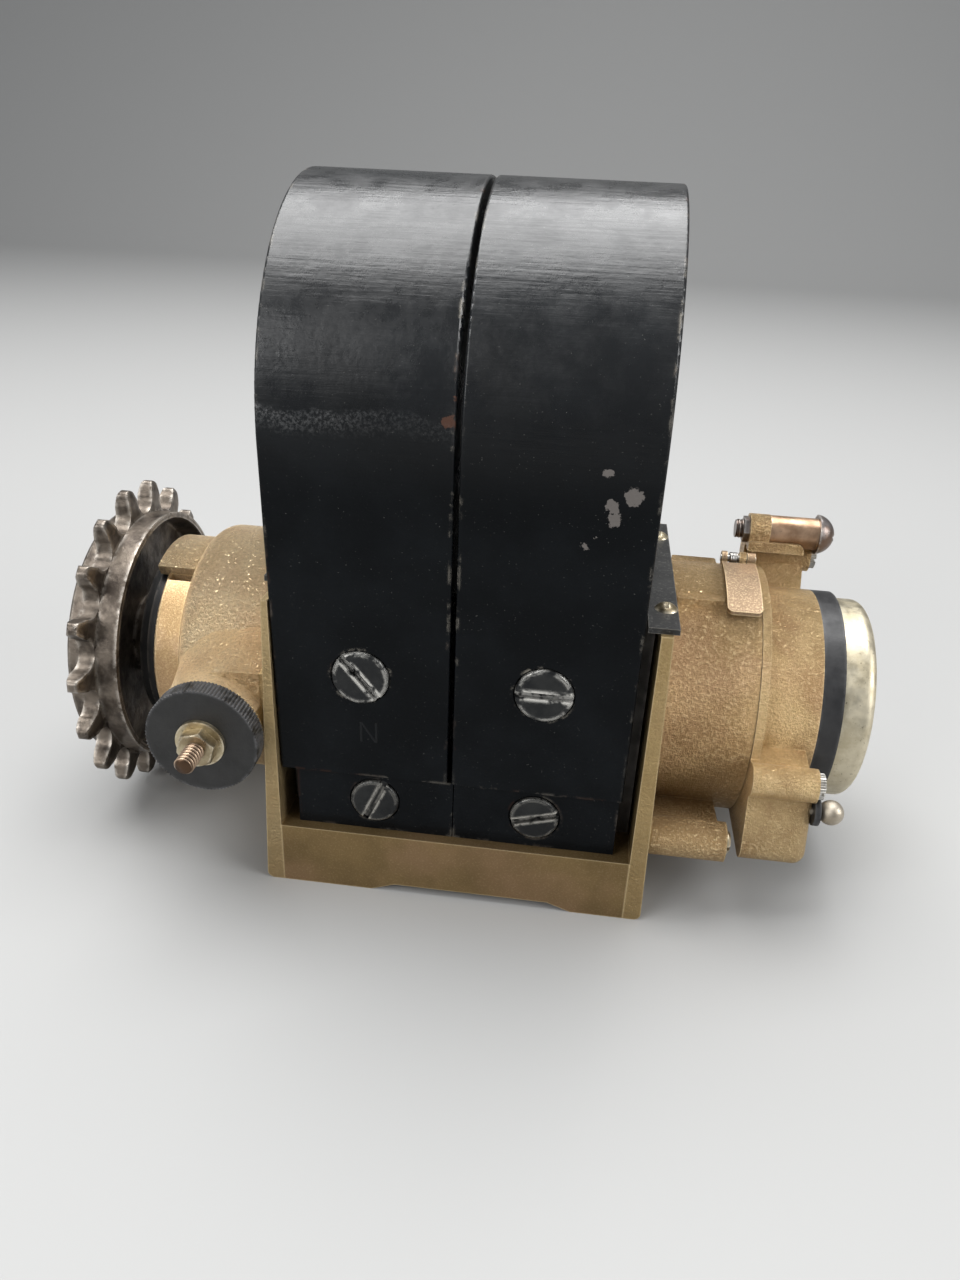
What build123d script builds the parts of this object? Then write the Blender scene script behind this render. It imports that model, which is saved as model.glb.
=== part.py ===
from build123d import *
import math
import os

# Driving sizes, in millimetres. X runs along the shaft, the front is -Y, Z is up from the feet.

# Base and end frames
frame_half_length = 38.9
frame_half_depth = 39.2
base_height = 14.1
shaft_height = 35.5
plate_thickness = 3.1
plate_rise = 2.6
plate_foot_flare = 0.5
left_plate_draft = 1.9
right_plate_draft = 0.9
plate_corner_radius = 1.5
foot_rise = 1.8
left_foot_end = -17.0
right_foot_end = 25.0
foot_slope = 5.0
mount_hole_radius = 3.4
mount_hole_depth = 11.0
mount_spacing_x = 59.0
mount_spacing_y = 50.0

# Drive end housing
drive_housing_radius = 26.7
drive_housing_length = 23.1
drive_shoulder_radius = 4.6
neck_radius = 21.3
neck_length = 6.3
hood_radius = 23.4
hood_front_angle = 65.5
hood_rear_angle = 128.0
hood_overhang = 2.0
hood_slot_margin = 0.7
housing_wall = 7.0
bearing_lip = 4.8
bearing_lip_thickness = 2.0
bearing_lip_height = 3.0
boss_radius = 11.2
boss_flare = 3.3
boss_flare_depth = 17.0
boss_flare_belly = 1.0
boss_side_margin = 1.8
web_front_depth = 36.0
web_top = 12.1
web_bottom = -9.0
web_fillet = 1.9
web_slope = 12.0
web_length = 24.0
web_shoulder = 4.6

# Breaker end housing
drum_radius = 27.0
drum_length = 18.7
pad_height = 25.5
pad_half_depth = 11.8
pad_start = 1.7
pad_width = 9.6
pad_corner_radius = 0.6
lower_boss_radius = 4.0
lower_boss_depth = 32.8
lower_boss_drop = 18.1
lower_boss_length = 15.6
lower_web_top = (21.5, -16.3)
lower_web_foot = (12.0, -22.0)
spigot_radius = 20.44
spigot_length = 3.4

# Pole shoes and magnets
pole_gap = 0.45
pole_end_clearance = 0.4
leg_lean = 2.22
pole_half_angle = 62.0
pole_top_thickness = 9.0
pole_top_gap = 0.6
magnet_thickness = 8.0
magnet_outer_radius = 40.2
magnet_centre_height = 96.0
magnet_foot_height = 27.6
magnet_edge_radius = 0.5
left_magnet_margin = 0.2
right_magnet_margin = 2.85
magnet_gap = 0.95
foot_block_set_back = 0.8
foot_block_top_gap = 0.25
left_block_margin = 3.3
right_block_margin = 3.4
block_split = -0.5
block_gap = 0.2

# Screws of the magnets, blocks, cover, frames and pole shoes
magnet_screw_head_radius = 5.5
magnet_screw_head_height = 1.6
magnet_screw_recess = 0.9
magnet_screw_shank_radius = 3.0
magnet_screw_height = 50.6
magnet_screw_depth = 6.0
magnet_screw_end_gap = 0.5
magnet_screw_edge = 0.6
screw_head_clearance = 0.3
block_screw_head_radius = 4.9
block_screw_height = 21.3
screw_slot_width = 1.3
screw_slot_depth = 1.2
cover_thickness = 1.1
cover_front_margin = 1.2
cover_rear_edge = 17.0
cover_overhang = 0.2
cover_screw_place = 1.1
cover_notch_clearance = 0.5
cover_screw_head_radius = 2.15
cover_screw_head_height = 1.2
cover_screw_shank_radius = 0.9
cover_screw_length = 5.0
cover_screw_inset = 8.6
cover_left_screw_y = -10.0
cover_ear_reach = 4.0
cover_ear_half_width = 2.6
cover_ear_margin = 1.0
cover_screw_slot_width = 0.7
cover_screw_slot_depth = 0.45
frame_screw_head_radius = 3.6
frame_screw_shank_radius = 2.1
frame_screw_head_depth = 1.6
frame_screw_length = 12.0
frame_screw_height = 7.0
frame_screw_offset = 33.5
frame_screw_slot_width = 0.9
frame_screw_slot_depth = 0.8
frame_screw_end_gap = 0.2
pole_screw_head_radius = 3.6
pole_screw_head_height = 3.0
pole_screw_head_gap = 0.3
pole_screw_seat = 6.0
pole_screw_shank_radius = 2.1
pole_screw_reach = 6.5
pole_screw_spacing = 22.0
pole_screw_depth = 20.0
pole_screw_slot_width = 1.0
pole_screw_end_gap = 0.5

# Neck band
band_thickness = 0.7
band_width = 5.2
band_slot_angle = 59.3
band_end_margin = 1.5

# Brush holder and terminal
holder_knob_radius = 11.3
holder_knob_thickness = 4.0
holder_knob_offset = 10.5
holder_knob_face = 43.3
holder_flute_count = 96
holder_flute_radius = 0.2
holder_stem_radius = 6.2
holder_bore_radius = 2.6
holder_clearance = 0.05
terminal_radius = 1.95
terminal_core_radius = 1.7
terminal_chamfer = 0.4
terminal_end = 8.9
terminal_reach = 6.0
washer_radius = 4.9
washer_thickness = 0.8
nut_flat_width = 6.8
nut_thickness = 2.6
nut_turn = 15.0
nut_corner_height = 0.65
nut_chamfer = 0.5
brush_radius = 2.4
brush_length = 11.0
brush_running_gap = 0.3
brush_coil_radius = 2.4
brush_coil_bore = 1.5
brush_coil_count = 6
coil_groove_width = 0.4
coil_groove_depth = 0.3

# Slip ring
spool_radius = 16.5
spool_width = 10.0
spool_groove_width = 5.6
spool_inner_radius = 12.0
slip_ring_radius = 13.6

# Armature
armature_end_gap = 11.9
armature_slot_half_width = 13.2
armature_slot_top = 14.6
armature_mouth_half_width = 9.0
armature_web_length = 22.0
armature_web_half_width = 5.4
winding_gap = 0.3
winding_corner_radius = 3.0
end_disc_radius = 19.6
drive_disc_thickness = 5.0
breaker_disc_thickness = 8.0
shaft_radius = 7.5
shaft_shoulder_radius = 9.5
thread_radius = 5.0
thread_length = 10.0
taper_gap = 4.6
condenser_half_width = 11.0
condenser_half_height = 6.5
condenser_thickness = 5.0

# Ball bearings
bearing_outer_radius = 17.5
bearing_width = 8.0
bearing_ring_thickness = 2.9
bearing_ball_radius = 2.75
bearing_ball_clearance = 0.06
bearing_ball_count = 7
bearing_cover_radius = 20.2
bearing_cover_step = 1.0
bearing_cover_thickness = 4.1
bearing_cover_bore = 10.2

# Sprocket
tooth_count = 18
tooth_pitch = 11.05
chain_roller_radius = 3.5
tooth_height = 3.3
tooth_thickness = 3.5
tooth_bevel = 1.0
tooth_phase = 6.25
tooth_tip_thickness = 2.9
tooth_tip_rounding = 1.2
tooth_tip_land = 0.9
tooth_side_rise = 2.6
sprocket_rim_width = 2.8
sprocket_rim_rounding = 0.7
sprocket_web_thickness = 3.0
sprocket_cup_depth = 4.6
sprocket_cup_wall = 1.2
sprocket_cup_slope = 0.8
sprocket_hub_radius = 9.6
sprocket_gap = 9.0
key_width = 3.0
key_height = 2.4
key_length = 7.0
sprocket_nut_width = 15.0
sprocket_nut_thickness = 5.0
sprocket_washer_radius = 8.5
sprocket_washer_thickness = 1.4

# Oil flap
flap_width = 7.0
flap_thickness = 0.8
flap_start = 11.6
flap_reach = 19.6
flap_pin_depth = 5.0
flap_pin_rise = 1.4
flap_rear_lift = 0.8
flap_middle_lift = 0.45
flap_front_lift = 1.25
flap_corner_radius = 1.2
flap_pin_radius = 0.8
flap_knuckle_radius = 1.5
flap_left_knuckle_width = 1.1
flap_right_knuckle_width = 1.7
flap_clearance = 0.06
flap_notch_clearance = 0.7
flap_lug_start = 3.7
flap_lug_width = 1.4
flap_coil_start = 1.5
flap_coil_length = 2.0
flap_coil_radius = 1.35
flap_coil_count = 4
oil_hole_radius = 1.6
oil_hole_angle = 76.0

# Timing housing
timing_gap = 0.15
timing_ring_width = 1.7
timing_ring_radius = 27.1
timing_drum_radius = 22.9
timing_drum_length = 13.0
timing_bore_clearance = 0.06
timing_fillet = 0.8
lug_radius = 3.4
lug_centre_radius = 30.4
lug_length = 12.8
lug_angles = (-8.0, 117.5, 237.0)
lug_web_half_width = 2.4
lug_screw_head_radius = 2.6
lug_screw_head_height = 1.3
lug_screw_shank_radius = 1.5
lug_screw_flute_count = 28
lug_screw_flute_radius = 0.12
lug_screw_slot_width = 0.8
lug_screw_slot_depth = 0.6
lug_screw_end_gap = 2.0
lower_block_length = 13.0
lower_block_top = 28.6
lower_block_bottom = 13.5
lower_block_top_depth = 31.3
lower_block_bottom_depth = 35.0
lower_block_radius = 3.0
lower_block_end_radius = 2.5
timing_range = 10.0
stop_pin_radius = 1.5
stop_pin_reach = 3.6
stop_pin_seat = 7.0
stop_pin_circle = 24.6
stop_pin_angle = -38.0
stop_slot_clearance = 0.35
stop_slot_depth = 4.2
boss_screw_radius = 2.3
boss_screw_depth = 8.0
boss_screw_tip = 1.0

# Top arm
arm_screw_offset = 11.3
arm_screw_rise = 33.1
arm_overhang = 1.6
arm_block_length = 4.3
arm_block_radius = 3.5
arm_block_drop = 2.6
arm_stem_front = 12.0
arm_stem_rear = 17.5
arm_stem_foot = 25.6
arm_rail_thickness = 0.6
arm_rail_top = 1.4
arm_rail_height = 2.2
arm_rail_length = 7.5
arm_rail_rounding = 1.6
arm_screw_radius = 1.9
arm_sleeve_radius = 3.4
arm_head_gap = 0.1
arm_sleeve_clearance = 0.05
arm_head_radius = 4.3
arm_head_height = 3.7
arm_head_slot_width = 1.0
arm_head_slot_depth = 0.8
arm_nut_width = 5.0
arm_nut_thickness = 1.2
arm_screw_overhang = 2.8

# Earth terminal
earth_washer_radius = 2.9
earth_washer_thickness = 1.2
earth_ball_radius = 2.5
earth_stud_radius = 0.8
earth_stud_depth = 5.0
earth_rise = 25.5
earth_depth = 30.3

# Insulating ring and end cap
ring_outer_radius = 22.9
ring_width = 4.3
ring_spigot_length = 2.0
ring_inner_radius = 18.8
ring_rebate_depth = 2.4
cap_radius = 21.6
cap_clearance = 0.05
cap_wall = 0.9
cap_length = 9.1
cap_corner_radius = 2.2

# Contact breaker
cam_ring_wall = 2.2
cam_ring_width = 5.0
cam_lobe_rise = 0.8
cam_lobe_angle = 34.0
breaker_gap = 1.0
breaker_disc_radius = 15.5
breaker_disc_width = 3.0
breaker_screw_radius = 2.5
breaker_screw_head_width = 8.0
breaker_screw_head_height = 4.0
breaker_screw_depth = 14.0
contact_height = 4.6
contact_place = 3.5
contact_face = 8.8
contact_point_radius = 1.0
contact_point_length = 0.8
fixed_contact_width = 4.4
fixed_contact_thickness = 2.8
moving_contact_length = 1.5
lever_lift = 0.3
lever_arm_width = 3.0
lever_end_length = 5.0
lever_pivot_y = -9.5
lever_pivot_z = 4.5
lever_pivot_radius = 1.4
lever_pivot_clearance = 0.05
lever_hub_wall = 1.9
lever_heel_gap = 0.4
lever_heel_angle = -3.0
leaf_radius = 15.3
leaf_thickness = 0.45
leaf_width = 3.6
leaf_start_angle = 160.0
leaf_end_angle = 102.0
leaf_foot_size = 4.0


# Helpers: everything round about the shaft is drawn with X as its axis and lifted to the shaft height.

def lifted(shape):
    """The shape moved up so that its X axis is the shaft's axis."""
    return Pos(0, 0, shaft_height) * shape


def turned(points):
    """A solid of revolution about the X axis from (x, radius) points."""
    return revolve(Plane.XY * make_face(Polyline(*points, close=True)), Axis.X, 360)


def rod_x(start, end, radius, y=0.0, z=0.0):
    """A round bar along X."""
    return Pos(start, y, z) * extrude(Plane.YZ * Circle(radius), end - start)


def tube_x(start, end, outer, inner):
    """A tube along X."""
    return rod_x(start, end, outer) - rod_x(start - 1, end + 1, inner)


def rod_y(x, z, near, far, radius):
    """A round bar along Y from near to far."""
    return Pos(x, near, z) * extrude(Plane.XZ * Circle(radius), near - far)


def rod_z(x, y, low, high, radius):
    """A round bar along Z."""
    return Pos(x, y, low) * extrude(Plane.XY * Circle(radius), high - low)


def block(x0, x1, y0, y1, z0, z1):
    """A plain block between its lowest and highest corners."""
    return Pos((x0 + x1) / 2, (y0 + y1) / 2, (z0 + z1) / 2) * Box(x1 - x0, y1 - y0, z1 - z0)


def hex_x(start, end, width, y=0.0, z=0.0):
    """A hexagon bar along X, measured across its flats."""
    face = RegularPolygon(width / 2, 6, major_radius=False)
    return Pos(start, y, z) * extrude(Plane.YZ * face, end - start)


def dome_x(start, radius, height, y=0.0, z=0.0):
    """A shallow dome on a flat at start, rising along +X."""
    ball = (radius * radius + height * height) / (2 * height)
    half = math.asin(radius / ball) / 2
    crown = (height - ball + ball * math.cos(half), ball * math.sin(half))
    profile = make_face(Curve() + [
        Line((0, 0), (0, radius)),
        ThreePointArc((0, radius), crown, (height, 0)),
        Line((height, 0), (0, 0)),
    ])
    return Pos(start, y, z) * revolve(Plane.XY * profile, Axis.X, 360)


def polar(radius, angle):
    """The (y, z) of a point at an angle above the front horizontal, seen along the shaft."""
    turn = math.radians(angle)
    return -radius * math.cos(turn), radius * math.sin(turn)


def sector(start, end, outer, inner, low, high):
    """A slice of a tube along X between two angles above the front horizontal."""
    middle = (low + high) / 2
    wire = [
        Line(polar(inner, low), polar(outer, low)),
        ThreePointArc(polar(outer, low), polar(outer, middle), polar(outer, high)),
        Line(polar(outer, high), polar(inner, high)),
        ThreePointArc(polar(inner, high), polar(inner, middle), polar(inner, low)),
    ]
    return Pos(start, 0, 0) * extrude(Plane.YZ * make_face(Curve() + wire), end - start)


os.makedirs("parts", exist_ok=True)

plate_inner = frame_half_length - plate_thickness
plate_height = shaft_height + drum_radius + plate_rise
breaker_face = frame_half_length + drum_length
drive_neck_start = -frame_half_length - drive_housing_length
drive_neck_end = drive_neck_start - neck_length
holder_place = -frame_half_length - holder_knob_offset
sprocket_place = drive_neck_end - bearing_cover_thickness - sprocket_gap
armature_core_half_length = frame_half_length - armature_end_gap
pole_bore_radius = shaft_height - base_height - pole_gap
armature_radius = pole_bore_radius - pole_gap
left_magnet_start = -plate_inner + left_magnet_margin
magnet_width = (plate_inner - right_magnet_margin - left_magnet_start - magnet_gap) / 2
right_magnet_start = left_magnet_start + magnet_width + magnet_gap
magnet_centres = (left_magnet_start + magnet_width / 2, right_magnet_start + magnet_width / 2)
left_block_start = -plate_inner + left_block_margin
left_block_width = block_split - block_gap / 2 - left_block_start
right_block_start = block_split + block_gap / 2
right_block_width = plate_inner - right_block_margin - right_block_start
block_centres = (left_block_start + left_block_width / 2, right_block_start + right_block_width / 2)


# Base block: a bar between the end frames, recessed between its feet

def base_block():
    outline = Polyline(
        (-plate_inner, 0), (left_foot_end, 0), (left_foot_end + foot_slope, foot_rise),
        (right_foot_end - foot_slope, foot_rise), (right_foot_end, 0), (plate_inner, 0),
        (plate_inner, base_height), (-plate_inner, base_height), close=True,
    )
    body = Pos(0, frame_half_depth, 0) * extrude(Plane.XZ * make_face(outline), 2 * frame_half_depth)
    for x in (-mount_spacing_x / 2, mount_spacing_x / 2):
        for y in (-mount_spacing_y / 2, mount_spacing_y / 2):
            body -= rod_z(x, y, -1, mount_hole_depth, mount_hole_radius)
    for x, y in pole_screw_places():
        body -= rod_z(x, y, -1, base_height + 1, pole_screw_shank_radius)
        body -= rod_z(x, y, -1, pole_screw_seat, pole_screw_head_radius + pole_screw_head_gap)
    for side in (-1, 1):
        for y in (-frame_screw_offset, frame_screw_offset):
            start = side * (frame_half_length - frame_screw_length - frame_screw_end_gap)
            body -= rod_x(min(start, side * 50), max(start, side * 50), frame_screw_shank_radius,
                          y, frame_screw_height)
    return body


def pole_screw_places():
    centre = (left_foot_end + right_foot_end) / 2
    return [
        (centre + sx * pole_screw_spacing / 2, sy * pole_screw_depth)
        for sx in (-1, 1) for sy in (-1, 1)
    ]


# End frames: a drafted plate with its bearing housing cast on

def plate_face(side, height):
    """How far out the drafted outer face of an end plate lies at a height."""
    draft = left_plate_draft if side < 0 else right_plate_draft
    low = frame_half_length + plate_foot_flare
    return low - (plate_foot_flare + draft) * height / plate_height


def end_plate(side):
    low = plate_face(side, 0)
    high = plate_face(side, plate_height)
    r = plate_corner_radius
    middle = r * (1 - math.sqrt(0.5))
    outline = make_face(Curve() + [
        Line((side * plate_inner, 0), (side * (low - r), 0)),
        ThreePointArc((side * (low - r), 0), (side * (low - middle), middle), (side * low, r)),
        Line((side * low, r), (side * high, plate_height)),
        Line((side * high, plate_height), (side * plate_inner, plate_height)),
        Line((side * plate_inner, plate_height), (side * plate_inner, 0)),
    ])
    return Pos(0, frame_half_depth, 0) * extrude(Plane.XZ * outline, 2 * frame_half_depth)


def frame_screw_holes(side):
    holes = []
    for y in (-frame_screw_offset, frame_screw_offset):
        low, high = sorted((side * (plate_inner - 1), side * (frame_half_length + 2)))
        holes.append(rod_x(low, high, frame_screw_shank_radius, y, frame_screw_height))
        holes.append(frame_screw_cone(side, y, 1.0))
    return holes


def frame_screw_cone(side, y, extra):
    """The countersink, or the head itself when it ends flush with the plate."""
    face = frame_half_length
    points = [
        (face - frame_screw_head_depth, 0), (face - frame_screw_head_depth, frame_screw_shank_radius),
        (face, frame_screw_head_radius),
    ]
    if extra > 0:
        points += [(face + extra, frame_screw_head_radius), (face + extra, 0)]
    else:
        points += [(face, 0)]
    cone = turned(points)
    if side < 0:
        cone = mirror(cone, Plane.YZ)
    return Pos(0, y, frame_screw_height) * cone


def drive_end_frame():
    """The left plate with its rough housing, neck, hood and the boss of the brush holder."""
    start = drive_neck_start
    outer = frame_half_length - plate_thickness / 2
    r = drive_housing_radius
    s = drive_shoulder_radius
    profile = make_face(Curve() + [
        Line((-outer, 0), (-outer, r)),
        Line((-outer, r), (start + s, r)),
        ThreePointArc((start + s, r), (start + s * (1 - math.sqrt(0.5)), r - s * (1 - math.sqrt(0.5))),
                      (start, r - s)),
        Line((start, r - s), (start, neck_radius)),
        Line((start, neck_radius), (drive_neck_end, neck_radius)),
        Line((drive_neck_end, neck_radius), (drive_neck_end, 0)),
        Line((drive_neck_end, 0), (-outer, 0)),
    ])
    housing = revolve(Plane.XY * profile, Axis.X, 360)
    housing += sector(drive_neck_end - hood_overhang, start + s, hood_radius, neck_radius - 0.5,
                      hood_front_angle, hood_rear_angle)
    body = end_plate(-1) + cover_ears() + lifted(housing) + brush_boss() + brush_web()
    lip_start = start + bearing_lip - bearing_lip_thickness
    lip_radius = bearing_outer_radius - bearing_lip_height
    cavity_radius = drive_housing_radius - housing_wall
    cavity = turned([
        (-plate_inner + 1, 0), (-plate_inner + 1, cavity_radius), (start + bearing_lip, cavity_radius),
        (start + bearing_lip, lip_radius), (lip_start, lip_radius),
        (lip_start, bearing_outer_radius), (drive_neck_end - 1, bearing_outer_radius),
        (drive_neck_end - 1, 0),
    ])
    body -= lifted(cavity)
    body -= rod_y(holder_place, shaft_height, -10, knob_back() - 1, holder_stem_radius + holder_clearance)
    body -= lifted(sector(drive_neck_end + hood_slot_margin, start - hood_slot_margin, hood_radius + 3,
                          bearing_outer_radius + 1.2, band_slot_angle + 0.6, hood_front_angle - 0.5))
    for hole in frame_screw_holes(-1) + cover_screw_holes(-1):
        body -= hole
    return body


def brush_boss():
    """The round boss behind the knob, flared where it grows out of the housing."""
    front = -knob_back() - 0.1
    rear = front - boss_flare_depth
    root = boss_radius + boss_flare
    belly = (rear + boss_flare_depth * 0.35, boss_radius + boss_flare_belly)
    profile = make_face(Curve() + [
        Line((0, 0), (0, root)),
        Line((0, root), (rear, root)),
        ThreePointArc((rear, root), belly, (front, boss_radius)),
        Line((front, boss_radius), (front, 0)),
        Line((front, 0), (0, 0)),
    ])
    boss = Pos(holder_place, 0, shaft_height) * Rot(0, 0, -90) * revolve(Plane.XY * profile, Axis.X, 360)
    return boss & block(drive_neck_start + boss_side_margin, -plate_inner, -front, 0, 0, plate_height)


def brush_web():
    """The web that joins the boss to the plate, its top rising back to the housing."""
    top, bottom = shaft_height + web_top, shaft_height + web_bottom
    f = web_fillet
    m = f * math.sqrt(0.5)
    high, low = -plate_face(-1, top), -plate_face(-1, bottom)
    inner = -plate_inner - 0.5
    outline = make_face(Curve() + [
        Line((inner, bottom - f), (low, bottom - f)),
        ThreePointArc((low, bottom - f), (low - f + m, bottom - f + m), (low - f, bottom)),
        Line((low - f, bottom), (holder_place, bottom)),
        Line((holder_place, bottom), (holder_place, shaft_height + boss_radius)),
        Line((holder_place, shaft_height + boss_radius), (holder_place + web_shoulder, top)),
        Line((holder_place + web_shoulder, top), (high - f, top)),
        ThreePointArc((high - f, top), (high - f + m, top + f - m), (high, top + f)),
        Line((high, top + f), (inner, top + f)),
        Line((inner, top + f), (inner, bottom - f)),
    ])
    slope = math.radians(web_slope)
    web = extrude(Plane.XZ * outline, web_length, dir=(0, math.cos(slope), math.sin(slope)))
    return Pos(0, -web_front_depth, 0) * web


def breaker_end_frame():
    """The right plate with the drum, its flat pad, the lower bosses and the spigot."""
    inner = frame_half_length - 1.5
    drum = rod_x(inner, breaker_face, drum_radius)
    pad_low = frame_half_length + pad_start
    pad = block(pad_low, pad_low + pad_width, -pad_half_depth, pad_half_depth, 10, pad_height)
    drum += fillet(pad.edges().filter_by(Axis.Z), pad_corner_radius)
    for side in (-1, 1):
        y, z = side * lower_boss_depth, -lower_boss_drop
        drum += rod_x(inner, frame_half_length + lower_boss_length, lower_boss_radius, y, z)
        web = Polyline(
            (y, z - lower_boss_radius), (y, z + lower_boss_radius * 0.8),
            (side * lower_web_top[0], lower_web_top[1]), (side * lower_web_foot[0], lower_web_foot[1]),
            close=True,
        )
        drum += Pos(inner, 0, 0) * extrude(Plane.YZ * make_face(web), lower_boss_length)
    spigot = rod_x(breaker_face - 1, breaker_face + spigot_length, spigot_radius)
    body = end_plate(1) + lifted(drum + spigot)
    seat = breaker_seat()
    cavity_radius = drum_radius - housing_wall
    cavity = turned([
        (plate_inner - 1, 0), (plate_inner - 1, cavity_radius),
        (seat - bearing_lip_thickness, cavity_radius),
        (seat - bearing_lip_thickness, bearing_outer_radius - 3), (seat, bearing_outer_radius - 3),
        (seat, bearing_outer_radius), (breaker_face + spigot_length + 1, bearing_outer_radius),
        (breaker_face + spigot_length + 1, 0),
    ])
    body -= lifted(cavity)
    boss_end = frame_half_length + lower_boss_length
    body -= lifted(rod_x(boss_end - boss_screw_depth, boss_end + 1, boss_screw_radius,
                         -lower_boss_depth, -lower_boss_drop))
    y, z = polar(stop_pin_circle, stop_pin_angle)
    body -= lifted(rod_x(breaker_face - stop_pin_seat, breaker_face + 1, stop_pin_radius, y, z))
    body -= lifted(oil_hole())
    body += lifted(flap_lug())
    for hole in frame_screw_holes(1) + cover_screw_holes(1):
        body -= hole
    return body


def breaker_seat():
    """Where the breaker end bearing starts."""
    return breaker_face - bearing_width - 1.1


def oil_hole():
    bore = rod_z(0, 0, drum_radius - housing_wall - 1, drum_radius + 4, oil_hole_radius)
    return Pos(flap_centre(), 0, 0) * Rot(90 - oil_hole_angle, 0, 0) * bore


def flap_lug():
    """A small ear on the drum that holds the middle of the flap's pin."""
    start = flap_left() + flap_lug_start
    end = start + flap_lug_width
    y, z = flap_pin_place()
    r = flap_knuckle_radius
    ear = rod_x(start, end, r, y, z) + block(start, end, y - r, y + r, drum_radius - 3, z)
    return ear - rod_x(start - 1, end + 1, flap_pin_radius, y, z)


# Pole shoes: iron blocks bored for the armature, their outer faces leaning with the magnet legs

def leg_depth(height, radius):
    """Depth of a leaning leg face at a height, tangent to an arch of the given radius."""
    turn = math.radians(leg_lean)
    return (radius - (magnet_centre_height - height) * math.sin(turn)) / math.cos(turn)


def inner_depth(height):
    """Depth of the plane where the magnet legs lie on the pole shoes."""
    return leg_depth(height, magnet_outer_radius - magnet_thickness)


def outer_depth(height):
    return leg_depth(height, magnet_outer_radius)


def pole_shoe(side):
    top = plate_height - pole_top_gap
    r = pole_bore_radius
    foot_y, foot_z = polar(r, -pole_half_angle)
    crown_y, crown_z = polar(r, pole_half_angle)
    crown = shaft_height + crown_z
    inner_top = -inner_depth(top) + pole_top_thickness
    outline = make_face(Curve() + [
        Line((-inner_depth(base_height), base_height), (-inner_depth(top), top)),
        Line((-inner_depth(top), top), (inner_top, top)),
        Line((inner_top, top), (crown_y, crown + 1.5)),
        Line((crown_y, crown + 1.5), (crown_y, crown)),
        ThreePointArc((crown_y, crown), (-r, shaft_height), (foot_y, shaft_height + foot_z)),
        Line((foot_y, shaft_height + foot_z), (foot_y, base_height)),
        Line((foot_y, base_height), (-inner_depth(base_height), base_height)),
    ])
    length = 2 * (plate_inner - pole_end_clearance)
    shoe = Pos(-length / 2, 0, 0) * extrude(Plane.YZ * outline, length)
    for x in magnet_centres:
        near = magnet_screw_depth - inner_depth(magnet_screw_height)
        shoe -= rod_y(x, magnet_screw_height, near, -50, magnet_screw_shank_radius)
    for x in block_centres:
        near = magnet_screw_depth - inner_depth(block_screw_height)
        shoe -= rod_y(x, block_screw_height, near, -50, magnet_screw_shank_radius)
    for x, y in pole_screw_places():
        if y < 0:
            shoe -= rod_z(x, y, base_height - 1, base_height + pole_screw_reach, pole_screw_shank_radius)
    return shoe if side < 0 else mirror(shoe, Plane.XZ)


# Horseshoe magnets: a flat bar bent over the top, its legs leaning in towards the feet

def magnet(start):
    turn = math.radians(leg_lean)
    radius = magnet_outer_radius
    inner = radius - magnet_thickness
    foot = magnet_foot_height
    foot_in = (-inner_depth(foot), foot)
    foot_out = (-outer_depth(foot), foot)
    join_out = (-radius * math.cos(turn), magnet_centre_height - radius * math.sin(turn))
    join_in = (-inner * math.cos(turn), magnet_centre_height - inner * math.sin(turn))
    outline = make_face(Curve() + [
        Line(foot_out, join_out),
        ThreePointArc(join_out, (0, magnet_centre_height + radius), (-join_out[0], join_out[1])),
        Line((-join_out[0], join_out[1]), (-foot_out[0], foot_out[1])),
        Line((-foot_out[0], foot_out[1]), (-foot_in[0], foot_in[1])),
        Line((-foot_in[0], foot_in[1]), (-join_in[0], join_in[1])),
        ThreePointArc((-join_in[0], join_in[1]), (0, magnet_centre_height + inner), join_in),
        Line(join_in, foot_in),
        Line(foot_in, foot_out),
    ])
    bar = Pos(start, 0, 0) * extrude(Plane.YZ * outline, magnet_width)
    bar = fillet(outer_rim(bar, start), magnet_edge_radius)
    centre = start + magnet_width / 2
    step = outer_depth(magnet_screw_height) - magnet_screw_recess
    bar -= rod_y(centre, magnet_screw_height, 50, -50, magnet_screw_shank_radius)
    bar -= rod_y(centre, magnet_screw_height, -step, -50, magnet_screw_head_radius + screw_head_clearance)
    bar -= rod_y(centre, magnet_screw_height, 50, step, magnet_screw_head_radius + screw_head_clearance)
    return bar


def outer_rim(bar, start):
    """The long outer edges on both flanks of a magnet."""
    middle = magnet_outer_radius - magnet_thickness / 2
    rim = []
    for edge in bar.edges():
        centre = edge.position_at(0.5)
        on_flank = min(abs(centre.X - start), abs(centre.X - start - magnet_width)) < 0.01
        over_arch = centre.Z > magnet_centre_height + middle
        beside_leg = centre.Z < magnet_centre_height and abs(centre.Y) > leg_depth(centre.Z, middle)
        if on_flank and edge.length > 20 and (over_arch or beside_leg):
            rim.append(edge)
    return rim


# Foot blocks: flat bars below the magnet ends, screwed to the pole shoes

def block_face():
    return outer_depth(magnet_foot_height) - foot_block_set_back


def foot_block_pair(start, width):
    """The front and the rear block under one magnet."""
    return Compound([foot_block(start, width, -1), foot_block(start, width, 1)])


def foot_block(start, width, side):
    top = magnet_foot_height - foot_block_top_gap
    outline = Polyline(
        (-inner_depth(base_height), base_height), (-block_face(), base_height),
        (-block_face(), top), (-inner_depth(top), top), close=True,
    )
    bar = Pos(start, 0, 0) * extrude(Plane.YZ * make_face(outline), width)
    centre = start + width / 2
    bar -= rod_y(centre, block_screw_height, 0, -50, magnet_screw_shank_radius)
    bar -= rod_y(centre, block_screw_height, -block_face() + magnet_screw_recess, -50,
                 block_screw_head_radius + screw_head_clearance)
    return bar if side < 0 else mirror(bar, Plane.XZ)


# Slotted cheese-head screws

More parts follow.
